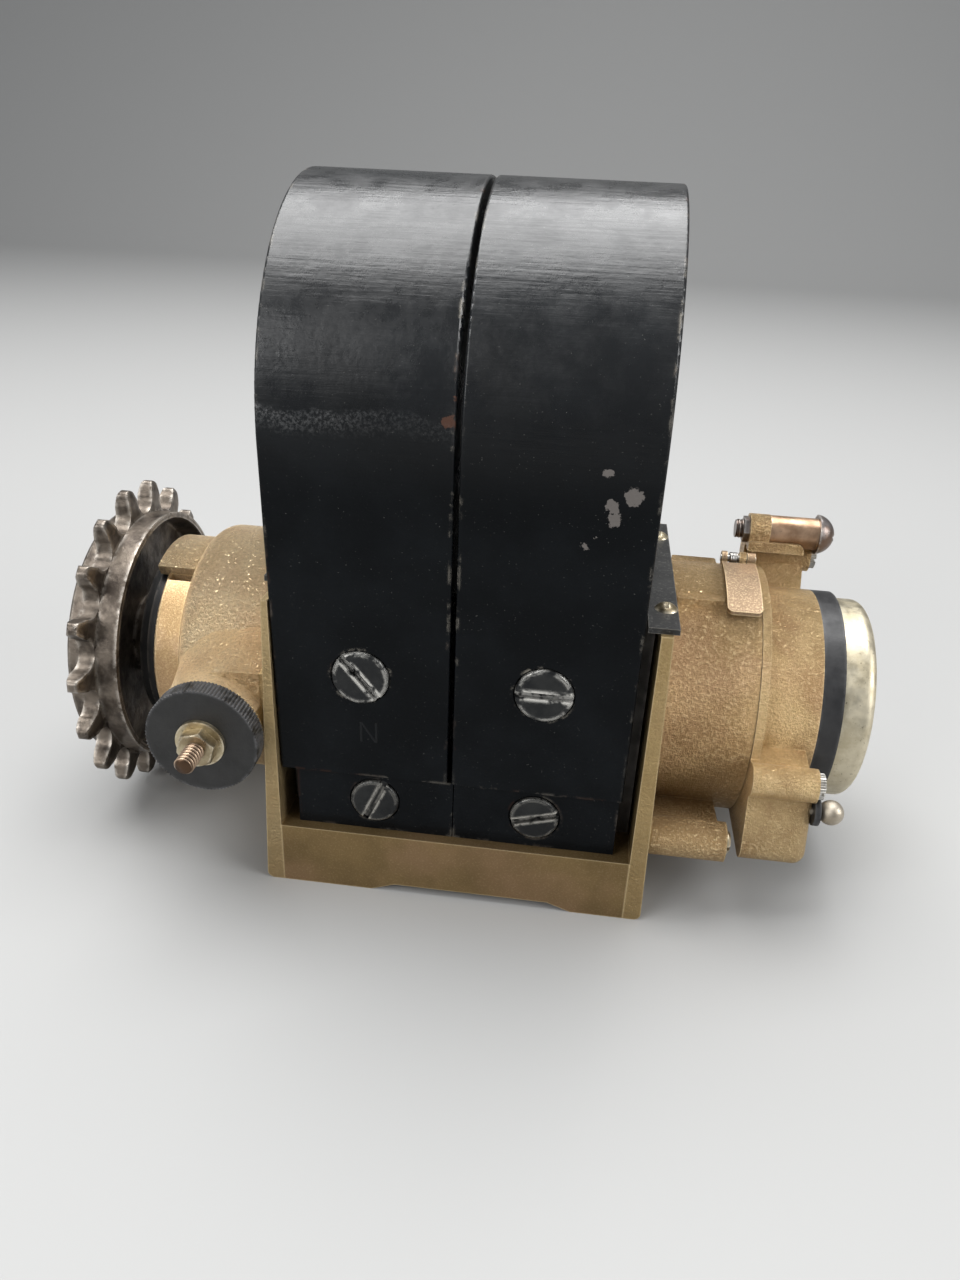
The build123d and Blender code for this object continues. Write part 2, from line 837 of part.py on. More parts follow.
def slotted_screw(x, z, seat, head_radius, depth, slot_angle):
    """A cheese-head screw driven along +Y, its head seated at the given depth in front."""
    face = -seat - magnet_screw_head_height
    screw = rod_y(x, z, -seat, face, head_radius)
    screw = fillet(screw.edges().sort_by(Axis.Y)[0], magnet_screw_edge)
    screw += rod_y(x, z, -seat + depth, -seat, magnet_screw_shank_radius)
    slot = Box(2 * head_radius + 2, 2 * screw_slot_depth, screw_slot_width)
    return screw - Pos(x, face, z) * Rot(0, slot_angle, 0) * slot


def magnet_screws():
    seat = outer_depth(magnet_screw_height) - magnet_screw_recess
    length = seat - inner_depth(magnet_screw_height) + magnet_screw_depth - magnet_screw_end_gap
    front = [
        slotted_screw(x, magnet_screw_height, seat, magnet_screw_head_radius, length, angle)
        for x, angle in zip(magnet_centres, (50, 0))
    ]
    return Compound(front + [mirror(screw, Plane.XZ) for screw in front])


def foot_block_screws():
    seat = block_face() - magnet_screw_recess
    length = seat - inner_depth(block_screw_height) + magnet_screw_depth - magnet_screw_end_gap
    front = [
        slotted_screw(x, block_screw_height, seat, block_screw_head_radius, length, angle)
        for x, angle in zip(block_centres, (-66, -16))
    ]
    return Compound(front + [mirror(screw, Plane.XZ) for screw in front])


def frame_screws():
    screws = []
    for side in (-1, 1):
        for y in (-frame_screw_offset, frame_screw_offset):
            low, high = sorted((side * (frame_half_length - frame_screw_head_depth),
                                side * (frame_half_length - frame_screw_length)))
            shank = rod_x(low, high, frame_screw_shank_radius, y, frame_screw_height)
            screw = shank + frame_screw_cone(side, y, 0)
            slot = Box(2 * frame_screw_slot_depth, 2 * frame_screw_head_radius + 1, frame_screw_slot_width)
            screws.append(screw - Pos(side * frame_half_length, y, frame_screw_height) * slot)
    return Compound(screws)


def pole_shoe_screws():
    screws = []
    for x, y in pole_screw_places():
        low = pole_screw_seat - pole_screw_head_height
        head = rod_z(x, y, low, pole_screw_seat, pole_screw_head_radius)
        shank = rod_z(x, y, pole_screw_seat, base_height + pole_screw_reach - pole_screw_end_gap,
                      pole_screw_shank_radius)
        slot = Pos(x, y, low) * Box(2 * pole_screw_head_radius + 1, pole_screw_slot_width, 2.0)
        screws.append(head + shank - slot)
    return Compound(screws)


# Top cover: a thin sheet over both plates, notched round the front legs of the magnets

def cover_screw_places(side):
    """The right screws stand in the plate, the left ones in ears on the plate's inner face."""
    rear = cover_rear_edge - cover_screw_inset
    if side > 0:
        x = plate_inner + cover_screw_place
        return [(x, -frame_half_depth + cover_front_margin + cover_screw_inset), (x, rear)]
    x = -plate_inner + cover_ear_reach / 2
    return [(x, cover_left_screw_y), (x, rear)]


def cover_ears():
    low = plate_height - cover_screw_length - cover_ear_margin
    ears = [
        block(-plate_inner - 0.5, -plate_inner + cover_ear_reach, y - cover_ear_half_width,
              y + cover_ear_half_width, low, plate_height)
        for x, y in cover_screw_places(-1)
    ]
    return ears[0] + ears[1]


def cover_screw_holes(side):
    return [
        rod_z(x, y, plate_height - cover_screw_length, plate_height + 1, cover_screw_shank_radius)
        for x, y in cover_screw_places(side)
    ]


def top_cover():
    edge = frame_half_length + cover_overhang
    front = -frame_half_depth + cover_front_margin
    z0, z1 = plate_height, plate_height + cover_thickness
    sheet = block(-edge, edge, front, cover_rear_edge, z0, z1)
    notch_end = right_magnet_start + magnet_width + cover_notch_clearance
    legs = inner_depth(plate_height) - cover_notch_clearance
    sheet -= block(-edge - 1, notch_end, front - 1, -legs, z0 - 1, z1 + 1)
    for side in (-1, 1):
        for x, y in cover_screw_places(side):
            sheet -= rod_z(x, y, z0 - 1, z1 + 1, cover_screw_shank_radius)
    return sheet


def cover_screws():
    screws = []
    for side in (-1, 1):
        for x, y in cover_screw_places(side):
            top = plate_height + cover_thickness
            r, h = cover_screw_head_radius, cover_screw_head_height
            head = Pos(x, y, top) * Rot(0, -90, 0) * dome_x(0, r, h)
            shank = rod_z(x, y, top - cover_screw_length, top, cover_screw_shank_radius)
            slot = Pos(x, y, top + h) * Box(cover_screw_slot_width, 2 * r, 2 * cover_screw_slot_depth)
            screws.append(head + shank - slot)
    return Compound(screws)


# Neck band: a thin strap round the neck, open under the hood

def neck_band():
    middle = (drive_neck_start + drive_neck_end) / 2
    low, high = middle - band_width / 2, middle + band_width / 2
    return lifted(sector(low, high, neck_radius + band_thickness, neck_radius,
                         hood_rear_angle - 360 + band_end_margin, band_slot_angle))


# Brush holder: a knurled insulating plug, its stem in the boss and the brush in its bore

def knob_back():
    return -holder_knob_face + holder_knob_thickness


def brush_holder():
    face = -holder_knob_face
    x, z = holder_place, shaft_height
    knob = Circle(holder_knob_radius)
    for step in range(holder_flute_count):
        knob -= Rot(0, 0, 360 * step / holder_flute_count) * Pos(holder_knob_radius, 0) * Rectangle(
            2 * holder_flute_radius, 2 * holder_flute_radius, rotation=45)
    body = Pos(x, knob_back(), z) * extrude(Plane.XZ * knob, holder_knob_thickness)
    body += rod_y(x, z, -spool_radius - 0.8, face + 1, holder_stem_radius)
    body -= rod_y(x, z, -5, face + terminal_reach, holder_bore_radius)
    return body - rod_y(x, z, face + terminal_reach + 1, face - 1, terminal_core_radius)


def terminal_stud():
    x, z = holder_place, shaft_height
    tip = -holder_knob_face - terminal_end
    nut_face = -holder_knob_face - washer_thickness - nut_thickness
    stud = rod_y(x, z, nut_face, tip, terminal_radius)
    stud += rod_y(x, z, -holder_knob_face + terminal_reach, nut_face - 1, terminal_core_radius)
    return chamfer(stud.edges().sort_by(Axis.Y)[0], terminal_chamfer)


def terminal_washer():
    x, z = holder_place, shaft_height
    near = -holder_knob_face
    ring = rod_y(x, z, near, near - washer_thickness, washer_radius)
    return ring - rod_y(x, z, near + 1, near - washer_thickness - 1, terminal_core_radius)


def terminal_nut():
    x, z = holder_place, shaft_height
    near = -holder_knob_face - washer_thickness
    half = nut_flat_width / 2
    face = Rot(0, 0, nut_turn) * RegularPolygon(half, 6, major_radius=False)
    prism = Pos(x, near, z) * extrude(Plane.XZ * face, nut_thickness)
    crown = turned([
        (0, 0), (0, half + nut_corner_height), (nut_thickness - nut_chamfer, half + nut_corner_height),
        (nut_thickness, half), (nut_thickness, 0),
    ])
    prism = prism & Pos(x, near, z) * Rot(0, 0, -90) * crown
    return prism - rod_y(x, z, near + 1, near - nut_thickness - 1, terminal_core_radius)


def brush_tip():
    return -slip_ring_radius - brush_running_gap


def carbon_brush():
    return rod_y(holder_place, shaft_height, brush_tip(), brush_tip() - brush_length, brush_radius)


def brush_spring():
    """A close coil between the brush and the terminal stud."""
    start = brush_tip() - brush_length
    end = -holder_knob_face + terminal_reach
    x, z = holder_place, shaft_height
    coil = rod_y(x, z, start, end, brush_coil_radius)
    step = (end - start) / brush_coil_count
    for turn in range(1, brush_coil_count):
        y = start + step * turn
        groove = rod_y(x, z, y + coil_groove_width / 2, y - coil_groove_width / 2, brush_coil_radius + 1)
        groove -= rod_y(x, z, y + 1, y - 1, brush_coil_radius - coil_groove_depth)
        coil -= groove
    return coil - rod_y(x, z, start + 1, end - 1, brush_coil_bore)


# Rotor: core, winding, the two shaft ends, condenser and slip ring

def armature_core():
    """A shuttle core: two curved poles joined by a web, with a winding slot on each side."""
    half = armature_core_half_length
    wide = armature_slot_half_width
    core = rod_x(-half, half, armature_radius)
    core -= block(-60, -armature_web_length, -wide, wide, -armature_slot_top, armature_slot_top)
    core -= block(armature_web_length, 60, -wide, wide, -armature_slot_top, armature_slot_top)
    for side in (-1, 1):
        slot = sorted((side * armature_web_half_width, side * armature_slot_top))
        core -= block(-60, 60, -wide, wide, *slot)
        mouth = sorted((side * (armature_slot_top - 1), side * (armature_radius + 1)))
        core -= block(-60, 60, -armature_mouth_half_width, armature_mouth_half_width, *mouth)
    return lifted(core)


def armature_winding():
    """The winding, a ring of wire wound lengthwise round the web."""
    gap = winding_gap
    half = armature_core_half_length - gap
    wide = armature_slot_half_width - gap
    high = armature_slot_top - gap
    coil = block(-half, half, -wide, wide, -high, high)
    coil = fillet(coil.edges().filter_by(Axis.Y), winding_corner_radius)
    web = armature_web_half_width + gap
    coil -= block(-armature_web_length - gap, armature_web_length + gap, -20, 20, -web, web)
    return lifted(coil)


def drive_shaft():
    core = -armature_core_half_length
    disc_end = core - drive_disc_thickness
    seat = drive_seat()
    taper_end = sprocket_place
    points = [
        (core, 0), (core, end_disc_radius), (disc_end, end_disc_radius), (disc_end, shaft_shoulder_radius),
        (seat, shaft_shoulder_radius), (seat, shaft_radius), (taper_start(), shaft_radius),
        (taper_end, thread_radius + 0.6), (taper_end, thread_radius),
        (taper_end - thread_length + 0.8, thread_radius), (taper_end - thread_length, thread_radius - 0.8),
        (taper_end - thread_length, 0),
    ]
    shaft = turned(points)
    return lifted(shaft - key_block(0.0))


def key_block(extra):
    """The key that turns the sprocket, half in the shaft and half in the hub."""
    x1 = sprocket_place + key_length + 0.2
    return block(sprocket_place + 0.2, x1, -key_width / 2 - extra, key_width / 2 + extra,
                 shaft_radius - key_height - 0.4, shaft_radius - 0.4 + key_height / 2)


def breaker_shaft():
    core = armature_core_half_length
    disc_end = core + breaker_disc_thickness
    seat = breaker_seat()
    end = breaker_start()
    shaft = turned([
        (core, 0), (core, end_disc_radius), (disc_end, end_disc_radius), (disc_end, shaft_shoulder_radius),
        (seat, shaft_shoulder_radius), (seat, shaft_radius), (end, shaft_radius), (end, 0),
    ])
    shaft -= block(core - 1, core + condenser_thickness, -condenser_half_width, condenser_half_width,
                   -condenser_half_height, condenser_half_height)
    shaft -= rod_x(end - breaker_screw_depth, end + 1, breaker_screw_radius)
    return lifted(shaft)


def condenser():
    core = armature_core_half_length
    gap = 0.1
    body = block(core + gap, core + condenser_thickness - gap, -condenser_half_width + gap,
                 condenser_half_width - gap, -condenser_half_height + gap, condenser_half_height - gap)
    return lifted(body)


def slip_ring_spool():
    x = holder_place
    half, groove = spool_width / 2, spool_groove_width / 2
    return lifted(turned([
        (x - half, shaft_shoulder_radius), (x - half, spool_radius), (x - groove, spool_radius),
        (x - groove, spool_inner_radius), (x + groove, spool_inner_radius), (x + groove, spool_radius),
        (x + half, spool_radius), (x + half, shaft_shoulder_radius),
    ]))


def slip_ring():
    x = holder_place
    groove = spool_groove_width / 2
    return lifted(tube_x(x - groove, x + groove, slip_ring_radius, spool_inner_radius))


# Ball bearings

def drive_seat():
    """Where the drive end bearing meets the shoulder of the shaft."""
    return drive_neck_start + bearing_lip - bearing_lip_thickness


def at_both_ends(make):
    """The same piece in the drive end bearing and in the breaker end bearing."""
    return Compound(list(make(drive_seat() - bearing_width)) + list(make(breaker_seat())))


def ball_circle():
    return (bearing_outer_radius + shaft_radius) / 2


def race(groove_radius):
    return Torus(ball_circle(), groove_radius)


def bearing_groove(start):
    return Pos(start + bearing_width / 2, 0, 0) * Rot(0, 90, 0) * race(bearing_ball_radius + bearing_ball_clearance)


def bearing_outer(start):
    inner = bearing_outer_radius - bearing_ring_thickness
    ring = tube_x(start, start + bearing_width, bearing_outer_radius, inner)
    return [lifted(ring - bearing_groove(start))]


def bearing_inner(start):
    ring = tube_x(start, start + bearing_width, shaft_radius + bearing_ring_thickness, shaft_radius)
    return [lifted(ring - bearing_groove(start))]


def bearing_balls(start):
    balls = []
    for step in range(bearing_ball_count):
        y, z = polar(ball_circle(), 360 * step / bearing_ball_count)
        balls.append(Pos(start + bearing_width / 2, y, z + shaft_height) * Sphere(bearing_ball_radius))
    return balls


def bearing_cover():
    near = drive_neck_end
    step = near - bearing_cover_thickness / 2
    far = near - bearing_cover_thickness
    return lifted(turned([
        (near, bearing_cover_bore), (near, bearing_cover_radius), (step, bearing_cover_radius),
        (step, bearing_cover_radius - bearing_cover_step), (far, bearing_cover_radius - bearing_cover_step),
        (far, bearing_cover_bore),
    ]))


# Drive sprocket: a toothed ring with a cup turned in its inner side

def pitch_radius():
    return tooth_pitch / (2 * math.sin(math.pi / tooth_count))


def tooth_point(along, across):
    """A point beside the middle line of the tooth above the gap drawn by tooth_plan."""
    turn = math.radians(180 / tooth_count)
    return (along * math.cos(turn) + across * math.sin(turn), along * math.sin(turn) - across * math.cos(turn))


def tooth_plan():
    """One gap between two teeth: a roller seat, straight flanks and rounded tips."""
    tip = pitch_radius() + tooth_height
    half = tooth_tip_thickness / 2
    rounding = tooth_tip_rounding
    seat = chain_roller_radius * math.sqrt(0.5)
    bottom = pitch_radius() - chain_roller_radius
    start = (pitch_radius() - 0.1, chain_roller_radius)
    flank = tooth_point(tip - rounding, half)
    bend = tooth_point(tip - rounding * (1 - math.sqrt(0.5)), half - rounding * (1 - math.sqrt(0.5)))
    crown = tooth_point(tip, half - rounding)
    outer = tooth_point(tip + 2, half - rounding)
    below = [(x, -y) for x, y in (start, flank, bend, crown, outer)]
    return Curve() + [
        ThreePointArc(below[0], (bottom, 0), start),
        Line(start, flank),
        ThreePointArc(flank, bend, crown),
        Line(crown, outer),
        Line(outer, below[4]),
        Line(below[4], below[3]),
        ThreePointArc(below[3], below[2], below[1]),
        Line(below[1], below[0]),
    ]


def tooth_side(x, root, tip, turn):
    """Half of a tooth's section: a straight side and an arc that rounds it over into the tip."""
    side = (x, root + tooth_side_rise)
    land = (x + turn * tooth_bevel, tip)
    bend = (x + turn * tooth_bevel * 0.25, tip - (tip - side[1]) * 0.35)
    return side, bend, land


def drive_sprocket():
    tip = pitch_radius() + tooth_height
    root = pitch_radius() - chain_roller_radius
    x0 = sprocket_place
    x1 = x0 + tooth_thickness
    cup_end = x1 + sprocket_cup_depth
    cup_inner = root - sprocket_cup_wall
    back = x0 - sprocket_rim_width
    r = sprocket_rim_rounding
    m = r * (1 - math.sqrt(0.5))
    left = tooth_side(x0, root, tip, 1)
    right = tooth_side(x1, root, tip, -1)
    blank = revolve(Plane.XY * make_face(Curve() + [
        Line((x0, 0), (x0, cup_inner)),
        Line((x0, cup_inner), (back, cup_inner)),
        Line((back, cup_inner), (back, root - r)),
        ThreePointArc((back, root - r), (back + m, root - m), (back + r, root)),
        Line((back + r, root), (x0, root)),
        Line((x0, root), left[0]),
        ThreePointArc(*left),
        Line(left[2], right[2]),
        ThreePointArc(*reversed(right)),
        Line(right[0], (x1, root)),
        Line((x1, root), (cup_end, root)),
        Line((cup_end, root), (cup_end, cup_inner)),
        Line((cup_end, cup_inner), (x0 + sprocket_web_thickness, cup_inner - sprocket_cup_slope)),
        Line((x0 + sprocket_web_thickness, cup_inner - sprocket_cup_slope),
             (x0 + sprocket_web_thickness, sprocket_hub_radius)),
        Line((x0 + sprocket_web_thickness, sprocket_hub_radius), (cup_end + 1, sprocket_hub_radius)),
        Line((cup_end + 1, sprocket_hub_radius), (cup_end + 1, 0)),
        Line((cup_end + 1, 0), (x0, 0)),
    ]), Axis.X, 360)
    gap = extrude(Plane.YZ * make_face(tooth_plan()), tooth_thickness)
    for step in range(tooth_count):
        angle = 180 - tooth_phase + 180 / tooth_count + 360 * step / tooth_count
        blank -= Pos(x0, 0, 0) * Rot(angle, 0, 0) * gap
    blank -= shaft_taper()
    blank -= key_block(0.0)
    return lifted(blank)


def taper_start():
    return drive_seat() - bearing_width - taper_gap


def shaft_taper():
    """The tapered seat between the bearing and the thread, with clear ends for cutting."""
    start, end = taper_start(), sprocket_place
    slope = (shaft_radius - thread_radius - 0.6) / (start - end)
    return turned([
        (start + 6, 0), (start + 6, shaft_radius), (start, shaft_radius),
        (end - 1, thread_radius + 0.6 - slope), (end - 1, 0),
    ])


def sprocket_key():
    return lifted(key_block(0.0))


def sprocket_washer():
    x1 = sprocket_place
    return lifted(tube_x(x1 - sprocket_washer_thickness, x1, sprocket_washer_radius, thread_radius))


def sprocket_nut():
    x1 = sprocket_place - sprocket_washer_thickness
    nut = hex_x(x1 - sprocket_nut_thickness, x1, sprocket_nut_width)
    return lifted(nut - rod_x(x1 - sprocket_nut_thickness - 1, x1 + 1, thread_radius))


# Oil flap: a curved leaf on a pin, pressed down by a small coil

def flap_left():
    return frame_half_length + flap_start


def flap_centre():
    return flap_left() + flap_width / 2


def drum_top(y):
    """Height of the drum above the shaft's axis at a depth."""
    return math.sqrt(drum_radius ** 2 - y ** 2)


def flap_pin_place():
    return flap_pin_depth, drum_radius + flap_pin_rise


def oil_flap():
    start = flap_left()
    end = start + flap_width
    y, z = flap_pin_place()
    front, middle = y - flap_reach, y - flap_reach / 2
    low = [
        (y, drum_top(y) + flap_rear_lift), (middle, drum_top(middle) + flap_middle_lift),
        (front, drum_top(front) + flap_front_lift),
    ]
    high = [(point[0], point[1] + flap_thickness) for point in low]
    section = make_face(Curve() + [
        ThreePointArc(*low), Line(low[2], high[2]), ThreePointArc(*reversed(high)), Line(high[0], low[0]),
    ])
    leaf = Pos(start, 0, 0) * extrude(Plane.YZ * section, flap_width)
    corners = leaf.edges().filter_by(Axis.Z).group_by(Axis.Y)[0]
    leaf = fillet(corners, flap_corner_radius)
    notch = flap_knuckle_radius + flap_notch_clearance
    left, right = start + flap_left_knuckle_width, end - flap_right_knuckle_width
    leaf -= rod_x(left, right, notch, y, z)
    leaf += rod_x(start, left, flap_knuckle_radius, y, z) + rod_x(right, end, flap_knuckle_radius, y, z)
    return lifted(leaf - rod_x(start - 1, end + 1, flap_pin_radius + flap_clearance, y, z))


def flap_pin():
    y, z = flap_pin_place()
    return lifted(rod_x(flap_left() - 0.2, flap_left() + flap_width + 0.2, flap_pin_radius, y, z))


def flap_spring():
    start = flap_left() + flap_coil_start
    end = start + flap_coil_length
    coil = tube_x(start, end, flap_coil_radius, flap_pin_radius)
    step = (end - start) / flap_coil_count
    groove = step / 4
    for turn in range(1, flap_coil_count):
        x = start + step * turn
        coil -= tube_x(x - groove / 2, x + groove / 2, flap_coil_radius + 1,
                       flap_coil_radius - coil_groove_depth)
    y, z = flap_pin_place()
    return lifted(Pos(0, y, z) * coil)


# Timing housing and what turns with it

def timing_start():
    return breaker_face + timing_gap


def timing_end():
    return timing_start() + timing_drum_length


def lug_place(angle):
    return polar(lug_centre_radius, angle)


def timing_housing():
    x0, x1 = timing_start(), timing_end()
    ring_end = x0 + timing_ring_width
    bore = spigot_radius + timing_bore_clearance
    body = turned([
        (x0, 0), (x0, timing_ring_radius), (ring_end, timing_ring_radius), (ring_end, timing_drum_radius),
        (x1, timing_drum_radius), (x1, 0),
    ])
    for angle in lug_angles:
        y, z = lug_place(angle)
        body += rod_x(x0, x0 + lug_length, lug_radius, y, z)
        web = Pos(x0, 0, 0) * Rot(-angle, 0, 0) * block(
            0, lug_length - 1.5, -lug_centre_radius, -timing_drum_radius + 2,
            -lug_web_half_width, lug_web_half_width)
        body += web
    body += lower_block()
    body += arm_bracket()
    body -= rod_x(x0 - 1, x1 + 1, bore)
    for angle in lug_angles:
        y, z = lug_place(angle)
        body -= rod_x(x0 + lug_screw_end_gap, x1 + 5, lug_screw_shank_radius, y, z)
    body -= stop_slot()
    body -= rod_x(x0 + lower_block_length - earth_stud_depth, x1 + 5, earth_stud_radius,
                  -earth_depth, earth_rise - shaft_height)
    y, z = arm_screw_offset, arm_screw_rise
    body -= rod_x(x0 - 3, x1 + 5, arm_screw_radius, y, z)
    body -= rod_x(arm_start() + arm_block_length, x1 + 5, arm_sleeve_radius + arm_sleeve_clearance, y, z)
    return lifted(body)


def lower_block():
    x0 = timing_start()
    low, high = lower_block_bottom - shaft_height, lower_block_top - shaft_height
    outline = Polyline(
        (-lower_block_top_depth, high), (-lower_block_bottom_depth, low), (-6, low), (-6, high - 8),
        (-timing_drum_radius + 2, high), close=True,
    )
    bar = Pos(x0, 0, 0) * extrude(Plane.YZ * make_face(outline), lower_block_length)
    corner = bar.edges().filter_by(Axis.X).sort_by(Axis.Y)[0]
    bar = fillet(corner, lower_block_radius)
    lowest = bar.edges().filter_by(Axis.Y).sort_by(Axis.Z)[:2].sort_by(Axis.X)[-1]
    return fillet(lowest, lower_block_end_radius)


def stop_slot():
    """A blind arc slot that lets the housing turn past the fixed stop pin."""
    half = stop_pin_radius + stop_slot_clearance
    x0 = timing_start() - 1
    x1 = timing_start() + stop_slot_depth
    low = stop_pin_angle - timing_range
    slot = sector(x0, x1, stop_pin_circle + half, stop_pin_circle - half, low, stop_pin_angle)
    for end in (low, stop_pin_angle):
        y, z = polar(stop_pin_circle, end)
        slot += rod_x(x0, x1, half, y, z)
    return slot


def arm_start():
    return timing_start() - arm_overhang


def arm_sleeve_length():
    """The sleeve holds the screw's head just clear of the lug's end."""
    return lug_length + arm_overhang - arm_block_length + arm_head_gap


def arm_bracket():
    """A stem behind the top lug that carries a round-topped block, and a rail in front of the sleeve."""
    x0 = arm_start()
    x1 = x0 + arm_block_length
    y, z = arm_screw_offset, arm_screw_rise
    r = arm_block_radius
    bracket = rod_x(x0, x1, r, y, z) + block(x0, x1, y - r, y + r, z - arm_block_drop, z)
    bracket += block(x0, x1, arm_stem_front, arm_stem_rear, arm_stem_foot, z - arm_block_drop + 1)
    front = y - arm_sleeve_radius - arm_rail_thickness
    top = z - arm_rail_top
    rail = block(x0, x1 + arm_rail_length, front, y - r / 2, top - arm_rail_height, top)
    edge = rail.edges().filter_by(Axis.Y).group_by(Axis.X)[-1].sort_by(Axis.Z)[-1]
    return bracket + fillet(edge, arm_rail_rounding)


def control_screw():
    x0 = arm_start() - arm_screw_overhang
    x1 = arm_start() + arm_block_length + arm_sleeve_length()
    y, z = arm_screw_offset, arm_screw_rise
    r, h = arm_head_radius, arm_head_height
    screw = rod_x(x0, x1, arm_screw_radius, y, z) + dome_x(x1, r, h, y, z)
    return lifted(screw - Pos(x1 + h, y, z) * Box(2 * arm_head_slot_depth, 2 * r, arm_head_slot_width))


def control_sleeve():
    x0 = arm_start() + arm_block_length
    y, z = arm_screw_offset, arm_screw_rise
    sleeve = rod_x(x0, x0 + arm_sleeve_length(), arm_sleeve_radius, y, z)
    return lifted(sleeve - rod_x(x0 - 1, x0 + arm_sleeve_length() + 1, arm_screw_radius, y, z))


def control_nut():
    x1 = arm_start()
    y, z = arm_screw_offset, arm_screw_rise
    nut = hex_x(x1 - arm_nut_thickness, x1, arm_nut_width, y, z)
    return lifted(nut - rod_x(x1 - arm_nut_thickness - 1, x1 + 1, arm_screw_radius, y, z))


def lug_screws():
    x0 = timing_start()
    screws = []
    for angle in lug_angles:
        y, z = lug_place(angle)
        head = Circle(lug_screw_head_radius)
        for step in range(lug_screw_flute_count):
            head -= Rot(0, 0, 360 * step / lug_screw_flute_count) * Pos(lug_screw_head_radius, 0) * Rectangle(
                2 * lug_screw_flute_radius, 2 * lug_screw_flute_radius, rotation=45)
        cap = Pos(x0 + lug_length, y, z) * extrude(Plane.YZ * head, lug_screw_head_height)
        shank = rod_x(x0 + lug_screw_end_gap, x0 + lug_length, lug_screw_shank_radius, y, z)
        slot = Pos(x0 + lug_length + lug_screw_head_height, y, z) * Box(
            2 * lug_screw_slot_depth, 2 * lug_screw_head_radius, lug_screw_slot_width)
        screws.append(lifted(cap + shank - slot))
    return Compound(screws)


def earth_washer():
    x0 = timing_start() + lower_block_length
    ring = rod_x(x0, x0 + earth_washer_thickness, earth_washer_radius, -earth_depth, earth_rise)
    return ring - rod_x(x0 - 1, x0 + 5, earth_stud_radius, -earth_depth, earth_rise)


def earth_terminal():
    x0 = timing_start() + lower_block_length
    x1 = x0 + earth_washer_thickness
    ball = Pos(x1 + earth_ball_radius, -earth_depth, earth_rise) * Sphere(earth_ball_radius)
    stud = rod_x(x0 - earth_stud_depth, x1 + 1, earth_stud_radius, -earth_depth, earth_rise)
    return ball + stud


def stop_pin():
    y, z = polar(stop_pin_circle, stop_pin_angle)
    return lifted(rod_x(breaker_face - stop_pin_seat, breaker_face + stop_pin_reach, stop_pin_radius, y, z))


def boss_screw():
    end = frame_half_length + lower_boss_length
    y, z = -lower_boss_depth, -lower_boss_drop
    screw = rod_x(end - boss_screw_depth, end + boss_screw_tip, boss_screw_radius, y, z)
    screw = chamfer(screw.edges().sort_by(Axis.X)[-1], 0.4)
    return lifted(screw - Pos(end + boss_screw_tip, y, z) * Box(1.4, 2 * boss_screw_radius + 1, 0.8))


# Insulating ring and end cap

def insulating_ring():
    x0 = timing_end()
    bore = spigot_radius + timing_bore_clearance
    x1 = x0 + ring_width
    return lifted(turned([
        (x0 - ring_spigot_length, ring_inner_radius), (x0 - ring_spigot_length, bore), (x0, bore),
        (x0, ring_outer_radius), (x1, ring_outer_radius), (x1, cap_radius + cap_clearance),
        (x1 - ring_rebate_depth, cap_radius + cap_clearance), (x1 - ring_rebate_depth, ring_inner_radius),
    ]))


def end_cap():
    x0 = timing_end() + ring_width - ring_rebate_depth + 0.1
    x1 = x0 + cap_length
    r, w, c = cap_radius, cap_wall, cap_corner_radius
    profile = make_face(Curve() + [
        Line((x0, r - w), (x0, r)),
        Line((x0, r), (x1 - c, r)),
        RadiusArc((x1 - c, r), (x1, r - c), c),
        Line((x1, r - c), (x1, 0)),
        Line((x1, 0), (x1 - w, 0)),
        Line((x1 - w, 0), (x1 - w, r - c)),
        RadiusArc((x1 - w, r - c), (x1 - c, r - w), -(c - w)),
        Line((x1 - c, r - w), (x0, r - w)),
    ])
    return lifted(revolve(Plane.XY * profile, Axis.X, 360))


# Contact breaker inside the timing housing

def cam_start():
    return breaker_face + spigot_length + 0.4


def cam_ring():
    x0 = cam_start()
    outer = spigot_radius + timing_bore_clearance
    inner = outer - cam_ring_wall
    ring = tube_x(x0, x0 + cam_ring_width, outer, inner)
    for angle in (90, 270):
        ring += sector(x0, x0 + cam_ring_width, inner + 0.3, inner - cam_lobe_rise,
                       angle - cam_lobe_angle, angle + cam_lobe_angle)
    return lifted(ring)


def breaker_start():
    return breaker_face + breaker_gap


def breaker_top():
    return breaker_start() + breaker_disc_width


def contact_breaker_disc():
    x0 = breaker_start()
    disc = rod_x(x0, breaker_top(), breaker_disc_radius)
    disc -= rod_x(x0 - 1, breaker_top() + 1, breaker_screw_radius)
    disc -= rod_x(x0 + 1, breaker_top() + 1, lever_pivot_radius, lever_pivot_y, lever_pivot_z)
    return lifted(disc)


def breaker_screw():
    x1 = breaker_top()
    head = hex_x(x1, x1 + breaker_screw_head_height, breaker_screw_head_width)
    return lifted(head + rod_x(breaker_start() - breaker_screw_depth + 0.5, x1, breaker_screw_radius))


def contact_rod(low, high):
    """A contact point standing along Z at the contact place."""
    middle = breaker_top() + lever_lift + contact_height / 2
    return rod_z(middle, contact_place, low, high, contact_point_radius)


def fixed_contact():
    x0 = breaker_top()
    top = contact_face - contact_point_length
    half = fixed_contact_width / 2
    stand = block(x0, x0 + contact_height, contact_place - half, contact_place + half,
                  top - fixed_contact_thickness, top)
    return lifted(stand + contact_rod(top - 0.5, contact_face))


def lever_pivot():
    x1 = breaker_top() + lever_lift + contact_height + 0.6
    return lifted(rod_x(breaker_start() + 1, x1, lever_pivot_radius, lever_pivot_y, lever_pivot_z))


